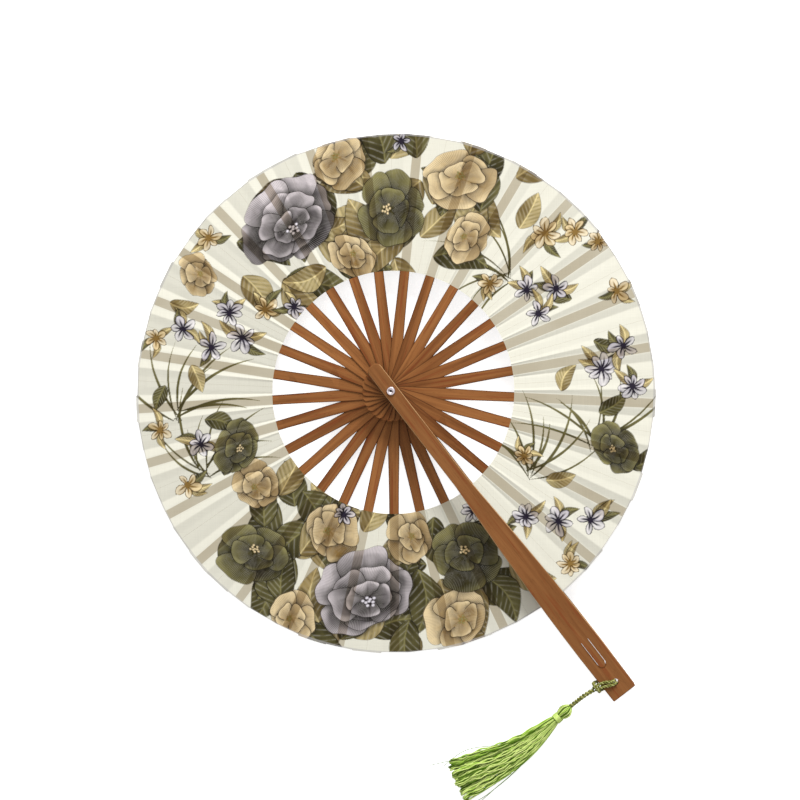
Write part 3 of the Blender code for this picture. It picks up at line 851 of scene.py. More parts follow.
class PrintedCloth:
    """Inks on the cloth at every point of the leaf, with its drawn strokes and outlines."""

    def __init__(self, points):
        self.points = points
        self.ink = np.tile(np.array(colours().silk), (len(points), 1)).astype(float)
        self.cover = np.zeros(len(points))
        self.hatch = np.zeros(len(points))
        self.hatch_share = np.zeros(len(points))
        self.line = np.full(len(points), FAR_FROM_LINES)

    def near(self, centre, reach):
        """Indices of the points round a centre, and where they are from it."""
        away = self.points - centre
        chosen = np.flatnonzero((np.abs(away[:, 0]) < reach) & (np.abs(away[:, 1]) < reach))
        return chosen, away[chosen]

    def lay(self, chosen, ink, cover, hatch=0.0, hatch_share=0.0, line=FAR_FROM_LINES):
        """Lays ink on points, over what is there."""
        share = np.reshape(cover, (-1, 1))
        self.ink[chosen] = self.ink[chosen] * (1.0 - share) + ink * share
        self.cover[chosen] = np.maximum(self.cover[chosen], cover)
        self.hatch[chosen] = hatch
        self.hatch_share[chosen] = hatch_share
        self.line[chosen] = line

    def lay_shape(self, chosen, ink, distance, hatch, hatch_share):
        """Lays ink with a soft edge, by the distance outside the shape's outline."""
        cover = 1.0 - soft_step(distance, -INK_SPREAD, INK_SPREAD)
        self.lay(chosen, ink, cover, hatch, hatch_share, np.minimum(distance, 0.0))

    def outline(self, chosen, distance, shadow_reach, shadow):
        """Draws an outline just outside a shape, and shades the ink below it."""
        outside = (distance > 0.0) & (distance < FAR_FROM_LINES)
        below = chosen[outside]
        nearer = distance[outside] < np.abs(self.line[below])
        self.line[below] = np.where(nearer, distance[outside], self.line[below])
        factor = shadow + (1.0 - shadow) * soft_step(distance[outside], 0.0, shadow_reach)
        self.ink[below] *= np.where(self.cover[below] > 0.5, factor, 1.0)[:, None]


def turned(points, bearing):
    """Points along and across a bearing."""
    c, s = math.cos(bearing), math.sin(bearing)
    return points[:, 0] * c + points[:, 1] * s, points[:, 1] * c - points[:, 0] * s


def soft_step(value, low, high):
    """Smooth step from 0 to 1."""
    t = np.clip((value - low) / (high - low), 0.0, 1.0)
    return t * t * (3.0 - 2.0 * t)


def between(dark, light, share):
    """Colours between two."""
    share = np.clip(share, 0.0, 1.0)[:, None]
    return np.array(dark) * (1.0 - share) + np.array(light) * share


def petal_shape(away, bearing, length, half_width, phase, ruffle):
    """Share along a petal, place across it as a share, and the distance outside its edge."""
    along, across = turned(away, bearing)
    beam = np.clip(across / half_width, -1.0, 1.0)
    lobes = 1.0 - ruffle * np.abs(np.sin(1.9 * beam + phase))
    lobes = lobes - 0.25 * ruffle * np.sin(8.0 * beam + 2.0 * phase)
    s = np.clip(along / (length * lobes), 0.02, 1.6)
    wave = 1.0 + 0.6 * ruffle * np.sin(5.0 * s + phase)
    width = half_width * wave * np.minimum(s, 1.0) ** 0.6
    beam = across / width
    level = beam**2 + s**4 - 1.0
    steep = np.hypot(2.0 * beam / width, (4.0 * s**3 - 1.2 * beam**2 / s) / length)
    outside = level / np.maximum(steep, 1.0 / half_width)
    distance = np.where(along > 0.0, outside, np.hypot(along, across))
    distance = np.where((s < 0.25) & (distance > 0.0), FAR_FROM_LINES, distance)
    return s, np.clip(beam, -1.0, 1.0), distance


def lay_petal(cloth, chosen, away, bearing, length, half_width, inks, tone, phase):
    """Broad petal: dark root, pale curled lip, an outline, fine strokes and a shadow below."""
    dark, light, ruffle, strength, curve = inks
    s, beam, distance = petal_shape(away, bearing, length, half_width, phase, ruffle)
    cloth.outline(chosen, distance, 0.12 * length + 0.0008, 0.55)
    inside = distance < INK_SPREAD
    if not inside.any():
        return
    s, beam, distance = s[inside], beam[inside], distance[inside]
    value = 0.10 + tone * soft_step(s, 0.0, 0.8) + 0.24 * s**2
    value += 0.16 * np.sin(beam * 2.6 + phase * 2.0) * s
    value += 0.09 * np.sin(beam * 7.0 + 4.0 * s + phase) * (1.0 - 0.5 * s)
    curled_side = math.copysign(1.0, math.sin(phase * 5.0))
    curl = soft_step(curled_side * beam, 0.1, 0.7) * soft_step(s, 0.35, 0.8)
    lip = 1.0 - soft_step(-distance / half_width, 0.08, 0.34)
    value += (0.14 + 0.34 * curl) * lip * soft_step(s, 0.4, 0.8)
    fold = 1.0 - soft_step(np.abs(beam - 0.25 * math.sin(phase * 3.0)), 0.0, 0.10)
    value -= 0.16 * fold * soft_step(s, 0.15, 0.3) * (1.0 - soft_step(s, 0.55, 0.9))
    value = np.clip(value, 0.0, 1.0) ** curve
    drawn = (1.0 - 0.5 * soft_step(s, 0.4, 0.9)) * soft_step(s, 0.08, 0.2)
    cloth.lay_shape(
        chosen[inside], between(dark, light, value), distance,
        beam * (2.0 + half_width / LINE_PITCH) + phase + 0.5 * s, drawn * strength,
    )


def lay_bloom(cloth, place, radius, inks, eye, random, rings):
    """Full flower seen a little from the side: lit rings of petals round a beaded eye."""
    dark = inks[0]
    chosen, away = cloth.near(place, radius * 1.35)
    if not len(chosen):
        return
    facing, squash = random.uniform(0.0, math.tau), random.uniform(0.76, 0.90)
    along, across = turned(away, facing)
    away = np.stack([along / squash, across], axis=1)
    shift = np.array((RING_SHIFT * radius, 0.0))
    for level, (count, share) in enumerate(rings):
        start = random.uniform(0.0, math.tau)
        for petal in random.permutation(count):
            bearing = start + math.tau * petal / count + random.uniform(-0.2, 0.2)
            length = radius * share * random.uniform(0.82, 1.06)
            lit = 0.22 * math.cos(bearing + facing - LIT_BEARING)
            tone = 0.20 + lit + random.uniform(-0.16, 0.22)
            breadth = math.tan(math.pi / count) * random.uniform(1.0, 1.4)
            lay_petal(
                cloth, chosen, away - shift * level, bearing, length, length * min(breadth, 0.9),
                inks, tone, random.uniform(0.0, 6.0),
            )
    x, y = (away - shift * len(rings)).T
    core = np.hypot(x, y) < radius * 0.10
    cloth.lay(chosen[core], between(dark, dark, x[core]), 1.0)
    for bead in range(EYE_BEADS):
        turn, out = bead * GOLDEN_TURN, radius * 0.13 * math.sqrt(bead / EYE_BEADS)
        distance = np.hypot(x - out * math.cos(turn), y - out * math.sin(turn))
        core = distance < radius * BEAD_SHARE
        tone = 1.0 - soft_step(distance[core], radius * 0.016, radius * BEAD_SHARE)
        cloth.lay(chosen[core], between(dark, eye, 0.25 + tone), 1.0)


def lay_leaf(cloth, place, bearing, length, width, inks, phase, hollow=0.5):
    """Pointed leaf with a pale midrib, side veins and one half lighter than the other."""
    chosen, away = cloth.near(place, length * 1.2)
    if not len(chosen):
        return
    along, across = turned(away, bearing)
    s = along / length
    inner = np.clip(s, 0.0, 1.0)
    side = 1.0 if phase > 3.0 else -1.0
    across = (across + 0.16 * length * np.sin(math.pi * inner) * math.sin(phase)) * side
    edge = width * np.sin(math.pi * inner**0.8) ** 0.85 * (1.0 + 0.03 * np.sin(9.0 * inner + phase))
    distance = np.abs(across) - edge
    past = np.abs(s - inner) * length
    distance = np.where(past > 0.0, np.hypot(np.maximum(distance, 0.0), past), distance)
    cloth.outline(chosen, distance, 0.0022, 0.62)
    inside = distance < INK_SPREAD
    if not inside.any():
        return
    s, across, distance = inner[inside], across[inside], distance[inside]
    beam = np.abs(across) / width
    value = 0.12 + np.where(across > 0.0, 0.34, 0.06) + hollow * 0.5 * s * (1.0 - beam)
    value += 0.10 * np.sin(s * 9.0 + phase * 2.0)
    midrib = 1.0 - soft_step(np.abs(across), 0.0002, 0.0008)
    cloth.lay_shape(
        chosen[inside], between(*inks, value + 0.5 * midrib), distance,
        s * 8.0 - beam * 2.2, 0.45 * (1.0 - midrib),
    )


def lay_blossom(cloth, place, radius, petals, line, fill, random):
    """Small drawn blossom: pale petals with a dark line round each and strokes from the middle."""
    chosen, away = cloth.near(place, radius * 1.25)
    if not len(chosen):
        return
    start = random.uniform(0.0, math.tau)
    for petal in range(petals):
        bearing = start + math.tau * petal / petals + random.uniform(-0.16, 0.16)
        length = radius * random.uniform(0.72, 1.05)
        half_width = length * random.uniform(0.22, 0.32)
        along, across = turned(away, bearing)
        bend = 0.12 * length * math.sin(7.0 * petal) * np.sin(math.pi * along / length)
        across = across + bend
        s = along / length
        edge = half_width * np.sin(math.pi * np.clip(s, 0.0, 1.0) ** 1.3) ** 0.6
        distance = np.abs(across) - edge
        distance = np.where(s < 0.9, distance, np.maximum(distance, (s - 1.0) * length * 0.7))
        distance = np.where(s < 0.0, np.hypot(across, along), distance)
        cloth.outline(chosen, distance, 0.0006, 0.9)
        inside = distance < 0.5 * INK_SPREAD
        s, across, distance = s[inside], across[inside], distance[inside]
        middle = 1.0 - soft_step(np.abs(across), 0.0004, 0.0009)
        stroke = (1.0 - soft_step(s, 0.45, 0.9)) * middle
        shaded = 0.40 * soft_step(across / half_width, 0.1, 0.7)
        shaded = shaded + 0.5 * (1.0 - soft_step(s, 0.15, 0.45))
        rim = 1.0 - soft_step(-distance, 0.0001, 0.0008)
        mark = np.clip(stroke + shaded + 0.8 * rim, 0.0, 1.0)
        cloth.lay(
            chosen[inside], between(fill, line, mark), 0.75 + 0.25 * mark,
            line=np.minimum(distance, 0.0),
        )
    distance = np.hypot(away[:, 0], away[:, 1])
    core = distance < radius * 0.16
    cloth.lay(chosen[core], between(line, line, distance[core]), 1.0)


def lay_stem(cloth, points, half_width, inks):
    """Tapering curved blade of grass through three points."""
    a, b, c = points
    t = np.linspace(0.0, 1.0, STEM_STEPS)[:, None]
    line = a * (1 - t) ** 2 + 2 * b * t * (1 - t) + c * t**2
    low, high = line.min(axis=0) - half_width * 2, line.max(axis=0) + half_width * 2
    chosen = np.flatnonzero(np.all((cloth.points > low) & (cloth.points < high), axis=1))
    if not len(chosen):
        return
    away = np.linalg.norm(cloth.points[chosen][:, None, :] - line[None], axis=2)
    nearest = away.argmin(axis=1)
    distance = away[np.arange(len(chosen)), nearest]
    share = nearest / (STEM_STEPS - 1)
    width = half_width * (0.25 + 0.75 * np.sin(math.pi * np.clip(share, 0.02, 1.0) ** 0.7))
    cover = 1.0 - soft_step(distance, width * 0.75, width * 1.15 + 0.00012)
    marked = cover > 0.0
    cloth.lay(chosen[marked], between(*inks, 0.15 + 0.7 * share[marked]), cover[marked])


# Where the print's flowers lie: bearing in degrees, reach and size in metres.
VIOLET_BLOOMS = ((122, 0.148, 0.040), (-98, 0.146, 0.041))
OLIVE_BLOOMS = (
    (90, 0.134, 0.031), (-131, 0.156, 0.030), (-66, 0.130, 0.029), (-14, 0.166, 0.021),
    (199, 0.122, 0.023),
)
OCHRE_BLOOMS = (
    (72, 0.162, 0.029), (64, 0.124, 0.022), (103, 0.176, 0.025), (107, 0.104, 0.021),
    (-74, 0.170, 0.028), (-114, 0.110, 0.024), (-146, 0.120, 0.021), (149, 0.168, 0.019),
    (-84, 0.106, 0.020), (-114, 0.180, 0.021),
)
# Leaves: bearing, reach, the way that the leaf points away from its bearing, and length.
TAN_LEAVES = (
    (60, 0.122, 20, 0.044), (60, 0.180, -50, 0.040), (86, 0.112, 140, 0.040),
    (134, 0.116, 190, 0.044), (142, 0.140, 160, 0.038), (98, 0.152, 70, 0.040),
    (-108, 0.176, -160, 0.040), (-84, 0.178, -30, 0.040), (-120, 0.136, 150, 0.044),
    (-76, 0.140, 20, 0.046), (-138, 0.112, 200, 0.036), (52, 0.150, 10, 0.030),
    (172, 0.150, 120, 0.022), (0, 0.122, 60, 0.022), (-30, 0.128, 40, 0.022),
    (158, 0.178, 200, 0.022), (78, 0.140, -20, 0.040), (112, 0.172, 150, 0.040),
    (-56, 0.150, 40, 0.036), (-134, 0.180, 190, 0.034), (-102, 0.104, 170, 0.034),
    (118, 0.104, 80, 0.034),
)
OLIVE_LEAVES = (
    (112, 0.124, 60, 0.046), (136, 0.160, 200, 0.044), (112, 0.164, 80, 0.042),
    (82, 0.118, 30, 0.044), (64, 0.146, 30, 0.042), (-106, 0.120, 210, 0.046),
    (-82, 0.130, -10, 0.048), (-86, 0.166, 0, 0.042), (-134, 0.136, 230, 0.040),
    (-118, 0.174, 200, 0.038), (-64, 0.148, 10, 0.042), (-18, 0.180, 60, 0.026),
    (27, 0.146, 120, 0.020), (14, 0.150, -20, 0.020), (178, 0.168, 70, 0.020),
    (188, 0.140, 150, 0.026), (84, 0.172, 20, 0.040), (-60, 0.112, 60, 0.034),
    (-102, 0.184, 170, 0.036), (-6, 0.150, 40, 0.024), (206, 0.138, -120, 0.024),
)
# Small blossoms, as the flowers.
SMALL_BLOSSOMS = (
    (6, 0.152, 0.0125), (11, 0.170, 0.0120), (1, 0.173, 0.0110), (32, 0.140, 0.0120),
    (37, 0.122, 0.0115), (28, 0.120, 0.0100), (154, 0.134, 0.0115), (160, 0.118, 0.0120),
    (166, 0.138, 0.0115), (163, 0.162, 0.0110), (-38, 0.152, 0.0115), (-33, 0.170, 0.0120),
    (-43, 0.132, 0.0105), (-165, 0.146, 0.0115), (-112, 0.096, 0.0085), (88, 0.184, 0.0085),
    (139, 0.096, 0.0095), (-56, 0.104, 0.0095),
)
OCHRE_BLOSSOMS = (
    (24, 0.178, 0.0100), (41, 0.176, 0.0110), (36, 0.184, 0.0090), (46, 0.160, 0.0120),
    (167, 0.180, 0.0095), (140, 0.178, 0.0110), (-26, 0.106, 0.0085), (-44, 0.178, 0.0095),
    (-171, 0.174, 0.0095), (-156, 0.166, 0.0110), (48, 0.106, 0.0095), (147, 0.112, 0.0110),
)
# Beds of leaves behind the flowers: first and last bearing, and the number of leaves.
LEAF_BEDS = ((62, 134, 27), (-142, -60, 31))
# Tufts of grass: bearing and reach of the root, and the side that it leans to.
REED_ROOTS = (
    (-15, 0.152, 1), (-157, 0.150, -1), (186, 0.160, -1), (44, 0.118, 1), (-31, 0.116, 1),
)
REED_BLADES = 9


def at(bearing, reach):
    """Point of the leaf at a bearing in degrees and a distance from the rivet."""
    bearing = math.radians(bearing)
    return np.array((reach * math.cos(bearing), reach * math.sin(bearing)))


def lay_reeds(cloth, inks, random):
    """Tufts of grass that lean out from their roots."""
    for bearing, reach, side in REED_ROOTS:
        for blade in range(REED_BLADES):
            lean = math.radians(bearing + side * (30 + 17 * blade) + random.uniform(-8, 8))
            length = random.uniform(0.034, 0.066)
            root = at(bearing + random.uniform(-2, 2), reach + random.uniform(-0.004, 0.004))
            ahead = np.array((math.cos(lean), math.sin(lean)))
            bend = np.array((-ahead[1], ahead[0])) * side * random.uniform(0.2, 0.5)
            points = root, root + ahead * length * 0.6, root + (ahead + bend) * length
            lay_stem(cloth, points, random.uniform(0.0007, 0.0013), inks)


def lay_foliage(cloth, olive, tan, random):
    """Beds of leaves at random, and over them the leaves that have their own places."""
    for first, last, count in LEAF_BEDS:
        for leaf in range(count):
            bearing, length = random.uniform(first, last), random.uniform(0.032, 0.050)
            inks = tan if leaf % 5 in (1, 3) else olive
            place, turn = at(bearing, random.uniform(0.095, 0.182)), random.uniform(0.0, math.tau)
            width = length * random.uniform(0.24, 0.34)
            lay_leaf(cloth, place, turn, length, width, inks, random.uniform(0.0, 6.0), 0.3)
    for places, inks, width_share, hollow in (
        (TAN_LEAVES, tan, 0.28, 0.5), (OLIVE_LEAVES, olive, 0.27, 0.3),
    ):
        for bearing, reach, turn, length in places:
            place, turn = at(bearing, reach), math.radians(bearing + turn)
            width, phase = length * width_share, random.uniform(0.0, 6.0)
            lay_leaf(cloth, place, turn, length, width, inks, phase, hollow)


def lay_blooms(cloth, places, inks, eye, rings, random):
    """Full flowers at their places."""
    for bearing, reach, size in places:
        lay_bloom(cloth, at(bearing, reach), size, inks, eye, random, rings)


def lay_blossoms(cloth, places, line, fill, leaves, random):
    """Small blossoms at their places, each with three leaflets behind it."""
    for bearing, reach, size in places:
        place = at(bearing, reach)
        for leaflet in range(3):
            turn = random.uniform(0.0, math.tau)
            inks, length = leaves[leaflet % 2], size * random.uniform(1.3, 1.9)
            lay_leaf(cloth, place, turn, length, size * 0.30, inks, random.uniform(0.0, 6.0))
        lay_blossom(cloth, place, size, int(random.integers(5, 9)), line, fill, random)


def print_leaf(cloth):
    """The whole print: reeds and leaves first, then the flowers, the darkest last."""
    shade = colours()
    random = np.random.default_rng(sizes().print_seed)
    olive, tan = (shade.olive_dark, shade.olive_light), (shade.tan_dark, shade.tan_light)
    ochre, violet = (shade.ochre_dark, shade.ochre_light), (shade.violet_dark, shade.violet_light)
    blossom = shade.blossom_line, shade.blossom_fill
    lay_reeds(cloth, olive, random)
    lay_foliage(cloth, olive, tan, random)
    inks = (*ochre, *OCHRE_DRAWING)
    lay_blooms(cloth, OCHRE_BLOOMS, inks, shade.olive_light, OCHRE_RINGS, random)
    lay_blossoms(cloth, OCHRE_BLOSSOMS, *ochre, (tan, olive), random)
    lay_blossoms(cloth, SMALL_BLOSSOMS, *blossom, (tan, olive), random)
    inks = (*olive, *OLIVE_DRAWING)
    lay_blooms(cloth, OLIVE_BLOOMS, inks, shade.ochre_light, OLIVE_RINGS, random)
    inks = (*violet, *VIOLET_DRAWING)
    lay_blooms(cloth, VIOLET_BLOOMS, inks, shade.blossom_fill, VIOLET_RINGS, random)


def leaf_columns():
    """A bay's grid, with the share of the bay and of the leaf's width at each of its points."""
    bm = bmesh.new()
    bmesh.ops.create_grid(bm, x_segments=COLUMNS, y_segments=ROWS, size=0.5)
    bmesh.ops.reverse_faces(bm, faces=bm.faces)
    for edge in bm.edges:
        edge.smooth = not edge.is_boundary
    mesh = mesh_of(bm, "leaf_grid")
    co = np.zeros(len(mesh.vertices) * 3)
    mesh.vertices.foreach_get("co", co)
    co = np.clip(co.reshape(-1, 3) + 0.5, 0.0, 1.0)
    return mesh, co[:, 0], co[:, 1]


def bay_shape(level, share, width_share, trims):
    """A bay's points, with their distance beside the nearer blade and their reach."""
    fold = BAY_ANGLE * FOLD_SHARE
    facet = np.where(share < FOLD_SHARE, 0, np.where(share > 1.0 - FOLD_SHARE, 2, 1))
    middle = np.array([0.0, 0.5, 1.0])[facet] * BAY_ANGLE
    rim = LEAF_OUTER_RADIUS * math.cos(fold) / np.cos(share * BAY_ANGLE - middle)
    rim = rim * (1.0 + (1.0 - math.cos(fold))) + trims[2 * level + facet]
    rim = np.minimum(rim, LEAF_OUTER_RADIUS)
    reach = LEAF_INNER_RADIUS + (rim - LEAF_INNER_RADIUS) * width_share
    bearing = GUARD_BEARING + (level + share) * BAY_ANGLE
    height = leaf_height(level, share, reach, sizes().silk_thickness, sizes().pleat_rise_share)
    offset = reach * np.sin(np.where(share < 0.5, share, share - 1.0) * BAY_ANGLE)
    points = np.stack([reach * np.cos(bearing), reach * np.sin(bearing), height], axis=1)
    return points, offset, reach


def body_at(level):
    """Name of the body that holds the blade of a level."""
    if level == 0:
        return "front_guard"
    return "back_guard" if level == BAYS else f"rib_{level:02d}"


def make_leaf():
    """The pleated leaf, one piece for each bay between two blades."""
    grid, share, width_share = leaf_columns()
    trims = np.random.default_rng(RIM_SEED).uniform(-RIM_JITTER, 0.0, 2 * BAYS + 1)
    bays = [bay_shape(level, share, width_share, trims) for level in range(BAYS)]
    cloth = PrintedCloth(np.concatenate([points[:, :2] for points, _, _ in bays]))
    print_leaf(cloth)
    finishes = (
        silk_material("leaf_silk_front", 1.0, FRONT_RIB_SHADE),
        silk_material("leaf_silk_back", BACK_INK_SHARE, 0.0),
    )
    loops = np.zeros(len(grid.loops), int)
    grid.loops.foreach_get("vertex_index", loops)
    for level, (points, offset, reach) in enumerate(bays):
        part = slice(level * len(share), (level + 1) * len(share))
        mesh = grid.copy()
        mesh.name = f"leaf_bay_{level + 1:02d}"
        mesh.vertices.foreach_set("co", points.ravel())
        mesh.update()
        inks = np.concatenate([cloth.ink[part], cloth.cover[part][:, None]], axis=1)
        mesh.attributes.new("print", "FLOAT_COLOR", "POINT").data.foreach_set("color", inks.ravel())
        values = {
            "hatch": cloth.hatch[part], "hatch_share": cloth.hatch_share[part],
            "line_distance": cloth.line[part], "line_near": np.abs(cloth.line[part]) < LINE_SPAN,
            "blade_offset": offset, "reach": reach,
        }
        for name, value in values.items():
            mesh.attributes.new(name, "FLOAT", "POINT").data.foreach_set("value", value)
        mesh.uv_layers.new(name="cloth").data.foreach_set("uv", points[loops][:, :2].ravel())
        made = new_object(mesh.name, mesh, finishes)
        mesh.shade_smooth()
        shell = made.modifiers.new("cloth_thickness", "SOLIDIFY")
        shell.thickness = sizes().silk_thickness
        shell.offset = -1.0
        shell.material_offset = 1
        declare_bay(made, level)
    bpy.data.meshes.remove(grid)


def declare_bay(made, level):
    """Sets a bay's placing into its mesh, and hides the CAD leaf with the first bay. A bay is a
    sector of a ring of silk, folded between two blades.
    """
    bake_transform(made)
    if level == 0:
        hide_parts("leaf")


# Bamboo


def make_bamboo():
    """Finish of the ribs and the guards, with their edges eased."""
    random = np.random.default_rng(BAMBOO_SEED)
    shade = colours()
    for level in range(BAYS + 1):
        name = body_at(level)
        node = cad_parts[name]
        bearing = GUARD_BEARING + level * BAY_ANGLE
        if level in (0, BAYS):
            tone, widths, glint_share = GUARD_TONE, GUARD_HALF_WIDTHS, GUARD_EDGE_GLINT
            fibres, ease_share = (shade.guard_light, shade.guard_dark), 1.0
        else:
            tone, widths, glint_share = random.uniform(*RIB_TONES), RIB_HALF_WIDTHS, 0.0
            fibres, ease_share = (shade.bamboo_light, shade.bamboo_dark), RIB_EASE_SHARE
        place = GRAIN_SPACING * level
        material = bamboo_material(f"bamboo_{name}", bearing, place, tone, widths, fibres, glint_share)
        node.data.materials.clear()
        node.data.materials.append(material)
        weld = node.modifiers.new("join_faces", "WELD")
        weld.merge_threshold = WELD_REACH
        ease = node.modifiers.new("eased_edges", "BEVEL")
        ease.width = sizes().bamboo_ease * ease_share
        ease.segments = 2
        ease.limit_method = "ANGLE"
        ease.angle_limit = math.radians(35.0)
        ease.harden_normals = False


# Rivet


def make_rivet():
    """The turned rivet: flat head behind, shank, and a rolled crown with its bore."""
    bm = bmesh.new()
    chain = [bm.verts.new((radius, 0.0, height)) for radius, height in RIVET_PROFILE]
    for first, second in zip(chain, chain[1:]):
        bm.edges.new((first, second))
    bmesh.ops.spin(
        bm, geom=bm.verts[:] + bm.edges[:], cent=(0.0, 0.0, 0.0), axis=(0.0, 0.0, 1.0),
        angle=math.tau, steps=RIVET_STEPS, use_merge=True,
    )
    bmesh.ops.remove_doubles(bm, verts=bm.verts, dist=1e-6)
    bmesh.ops.recalc_face_normals(bm, faces=bm.faces)
    mesh = mesh_of(bm, "rivet_turned")
    new_piece(mesh, (steel_material(),), "front_guard", "rivet")


# Tassel


def tassel_route():
    """Centre line of the tassel, from the end of the cord to the ends of the threads."""
    start = Vector(HITCH) + Vector((*CORD_STEPS[-1], 0.0))
    start.z = TASSEL_HEIGHT
    return respaced(smooth_route([start + Vector((x, y, 0.0)) for x, y in TASSEL_STEPS], 12))


def twisted_cord(name, route, radius, pitch, materials, body, node):
    """Cord of two plies, each of four yarns with the opposite twist."""
    yarn_radius = radius * 0.27
    yarns = []
    for ply in twisted(route, 2, radius * 0.5, pitch):
        yarns += twisted(ply, 4, yarn_radius, -pitch * 0.8)
    mesh = strands_mesh(name, yarns, yarn_radius, YARN_KINDS)
    return new_piece(mesh, materials, body, node)


def make_cords():
    """The loop through the guard's hole, and the cord from the hitch into the tassel."""
    shade = colours()
    deepest = [part * 0.45 for part in shade.cord_deep]
    yarns = (
        thread_material("cord_thread_pale", shade.cord_pale, shade.cord_deep, 0.1),
        thread_material("cord_thread_deep", shade.cord_deep, deepest, 0.0),
    )
    route = respaced(smooth_route(LOOP_ROUTE, 6))
    loop = twisted_cord(
        "loop_cord", route, LOOP_RADIUS, LOOP_TWIST, yarns, "front_guard", "tassel_loop"
    )
    drop = TASSEL_HEIGHT - HITCH[2]
    steps = [
        Vector(HITCH) + Vector((x, y, drop * share))
        for (x, y), share in zip(CORD_STEPS, CORD_DROP_SHARES)
    ]
    inside = [Vector(point) for point in tassel_route()[CORD_END]]
    route = respaced(smooth_route(steps + inside, 6))
    cord = twisted_cord(
        "tassel_twist", route, CORD_RADIUS, CORD_TWIST, yarns, "tassel", "tassel_cord"
    )
    return cord, route


def route_length(route):
    """Length along a route, to a tenth of a millimetre."""
    return round(float(distances_along(route)[-1]), 4)


def round_route(route, distances, offsets):
    """Points beside a route: at each distance along it, an offset across and up."""
    centre = along_route(route, distances, route)
    run = along_route(route, distances, np.gradient(route, axis=0))
    run /= np.linalg.norm(run, axis=1)[:, None]
    across = np.stack([-run[:, 1], run[:, 0], np.zeros(len(run))], axis=1)
    return centre + across * offsets[:, :1] + np.array((0.0, 0.0, 1.0)) * offsets[:, 1:]


def circling(route, distances, away, angle):
    """Points round a route, at a distance from it and an angle about it."""
    offsets = np.stack([away * np.cos(angle), away * np.sin(angle)], axis=1)
    return round_route(route, distances, offsets)


def thread_materials():
    """The tassel's one green thread in three copies: painted lit, plain, and deep as painted shade.
    """
    shade = colours()
    light, green, dark = shade.thread_painted_lit, shade.thread_green, shade.thread_shaded
    middle = [0.6 * first + 0.4 * second for first, second in zip(green, dark)]
    return (
        thread_material("thread_painted_lit", light, green, 0.02),
        thread_material("thread_plain", green, middle, 0.0),
        thread_material("thread_painted_shade", dark, [part * 0.4 for part in dark], 0.0),
    )


def make_tassel_head(materials):
    """Threads folded over the end of the cord, and the thread wound round their neck."""
    route = tassel_route()
    random = np.random.default_rng(HEAD_SEED)
    count, radius = sizes().head_threads, sizes().thread_radius
    share = np.linspace(0.0, 1.0, HEAD_STEPS)
    swell = np.interp(share, *zip(*HEAD_SHAPE))
    swell = np.convolve(np.pad(swell, 2, mode="edge"), np.ones(5) / 5.0, mode="valid")
    strands, kinds = [], []
    for layer in range(2):
        for thread in range(count):
            lean = random.uniform(-HEAD_LEAN, HEAD_LEAN)
            angle = math.tau * (thread + 0.5 * layer) / count + lean * (share - 0.5)
            puff = random.uniform(*HEAD_PUFFS) * np.sin(math.pi * share)
            away = swell - HEAD_LAYER * layer - radius + puff
            strands.append(circling(route, HEAD_START + HEAD_LENGTH * share, away, angle))
            # The inner layer is the deep kind, painted shade under the outer one.
            kinds.append(2 if layer else (0, 2, 0, 1)[thread % 4])
    mesh = strands_mesh("tassel_head_threads", strands, radius, kinds)
    head = new_piece(mesh, materials, "tassel", "tassel_head")
    share = np.linspace(0.0, 1.0, 24 * BINDING_TURNS)
    wound = []
    for layer in range(2):
        angle = math.tau * BINDING_TURNS * share + math.pi * layer
        away = BINDING_RADIUS - 0.0002 * layer + 0.00012 * np.sin(5.0 * angle + layer)
        distances = BINDING_START + BINDING_LENGTH * (share if layer else 1.0 - share)
        wound.append(circling(route, distances, away, angle))
    mesh = strands_mesh("tassel_binding_thread", wound, radius * 0.8, [0, 1])
    binding = new_piece(mesh, materials, "tassel", "tassel_binding")


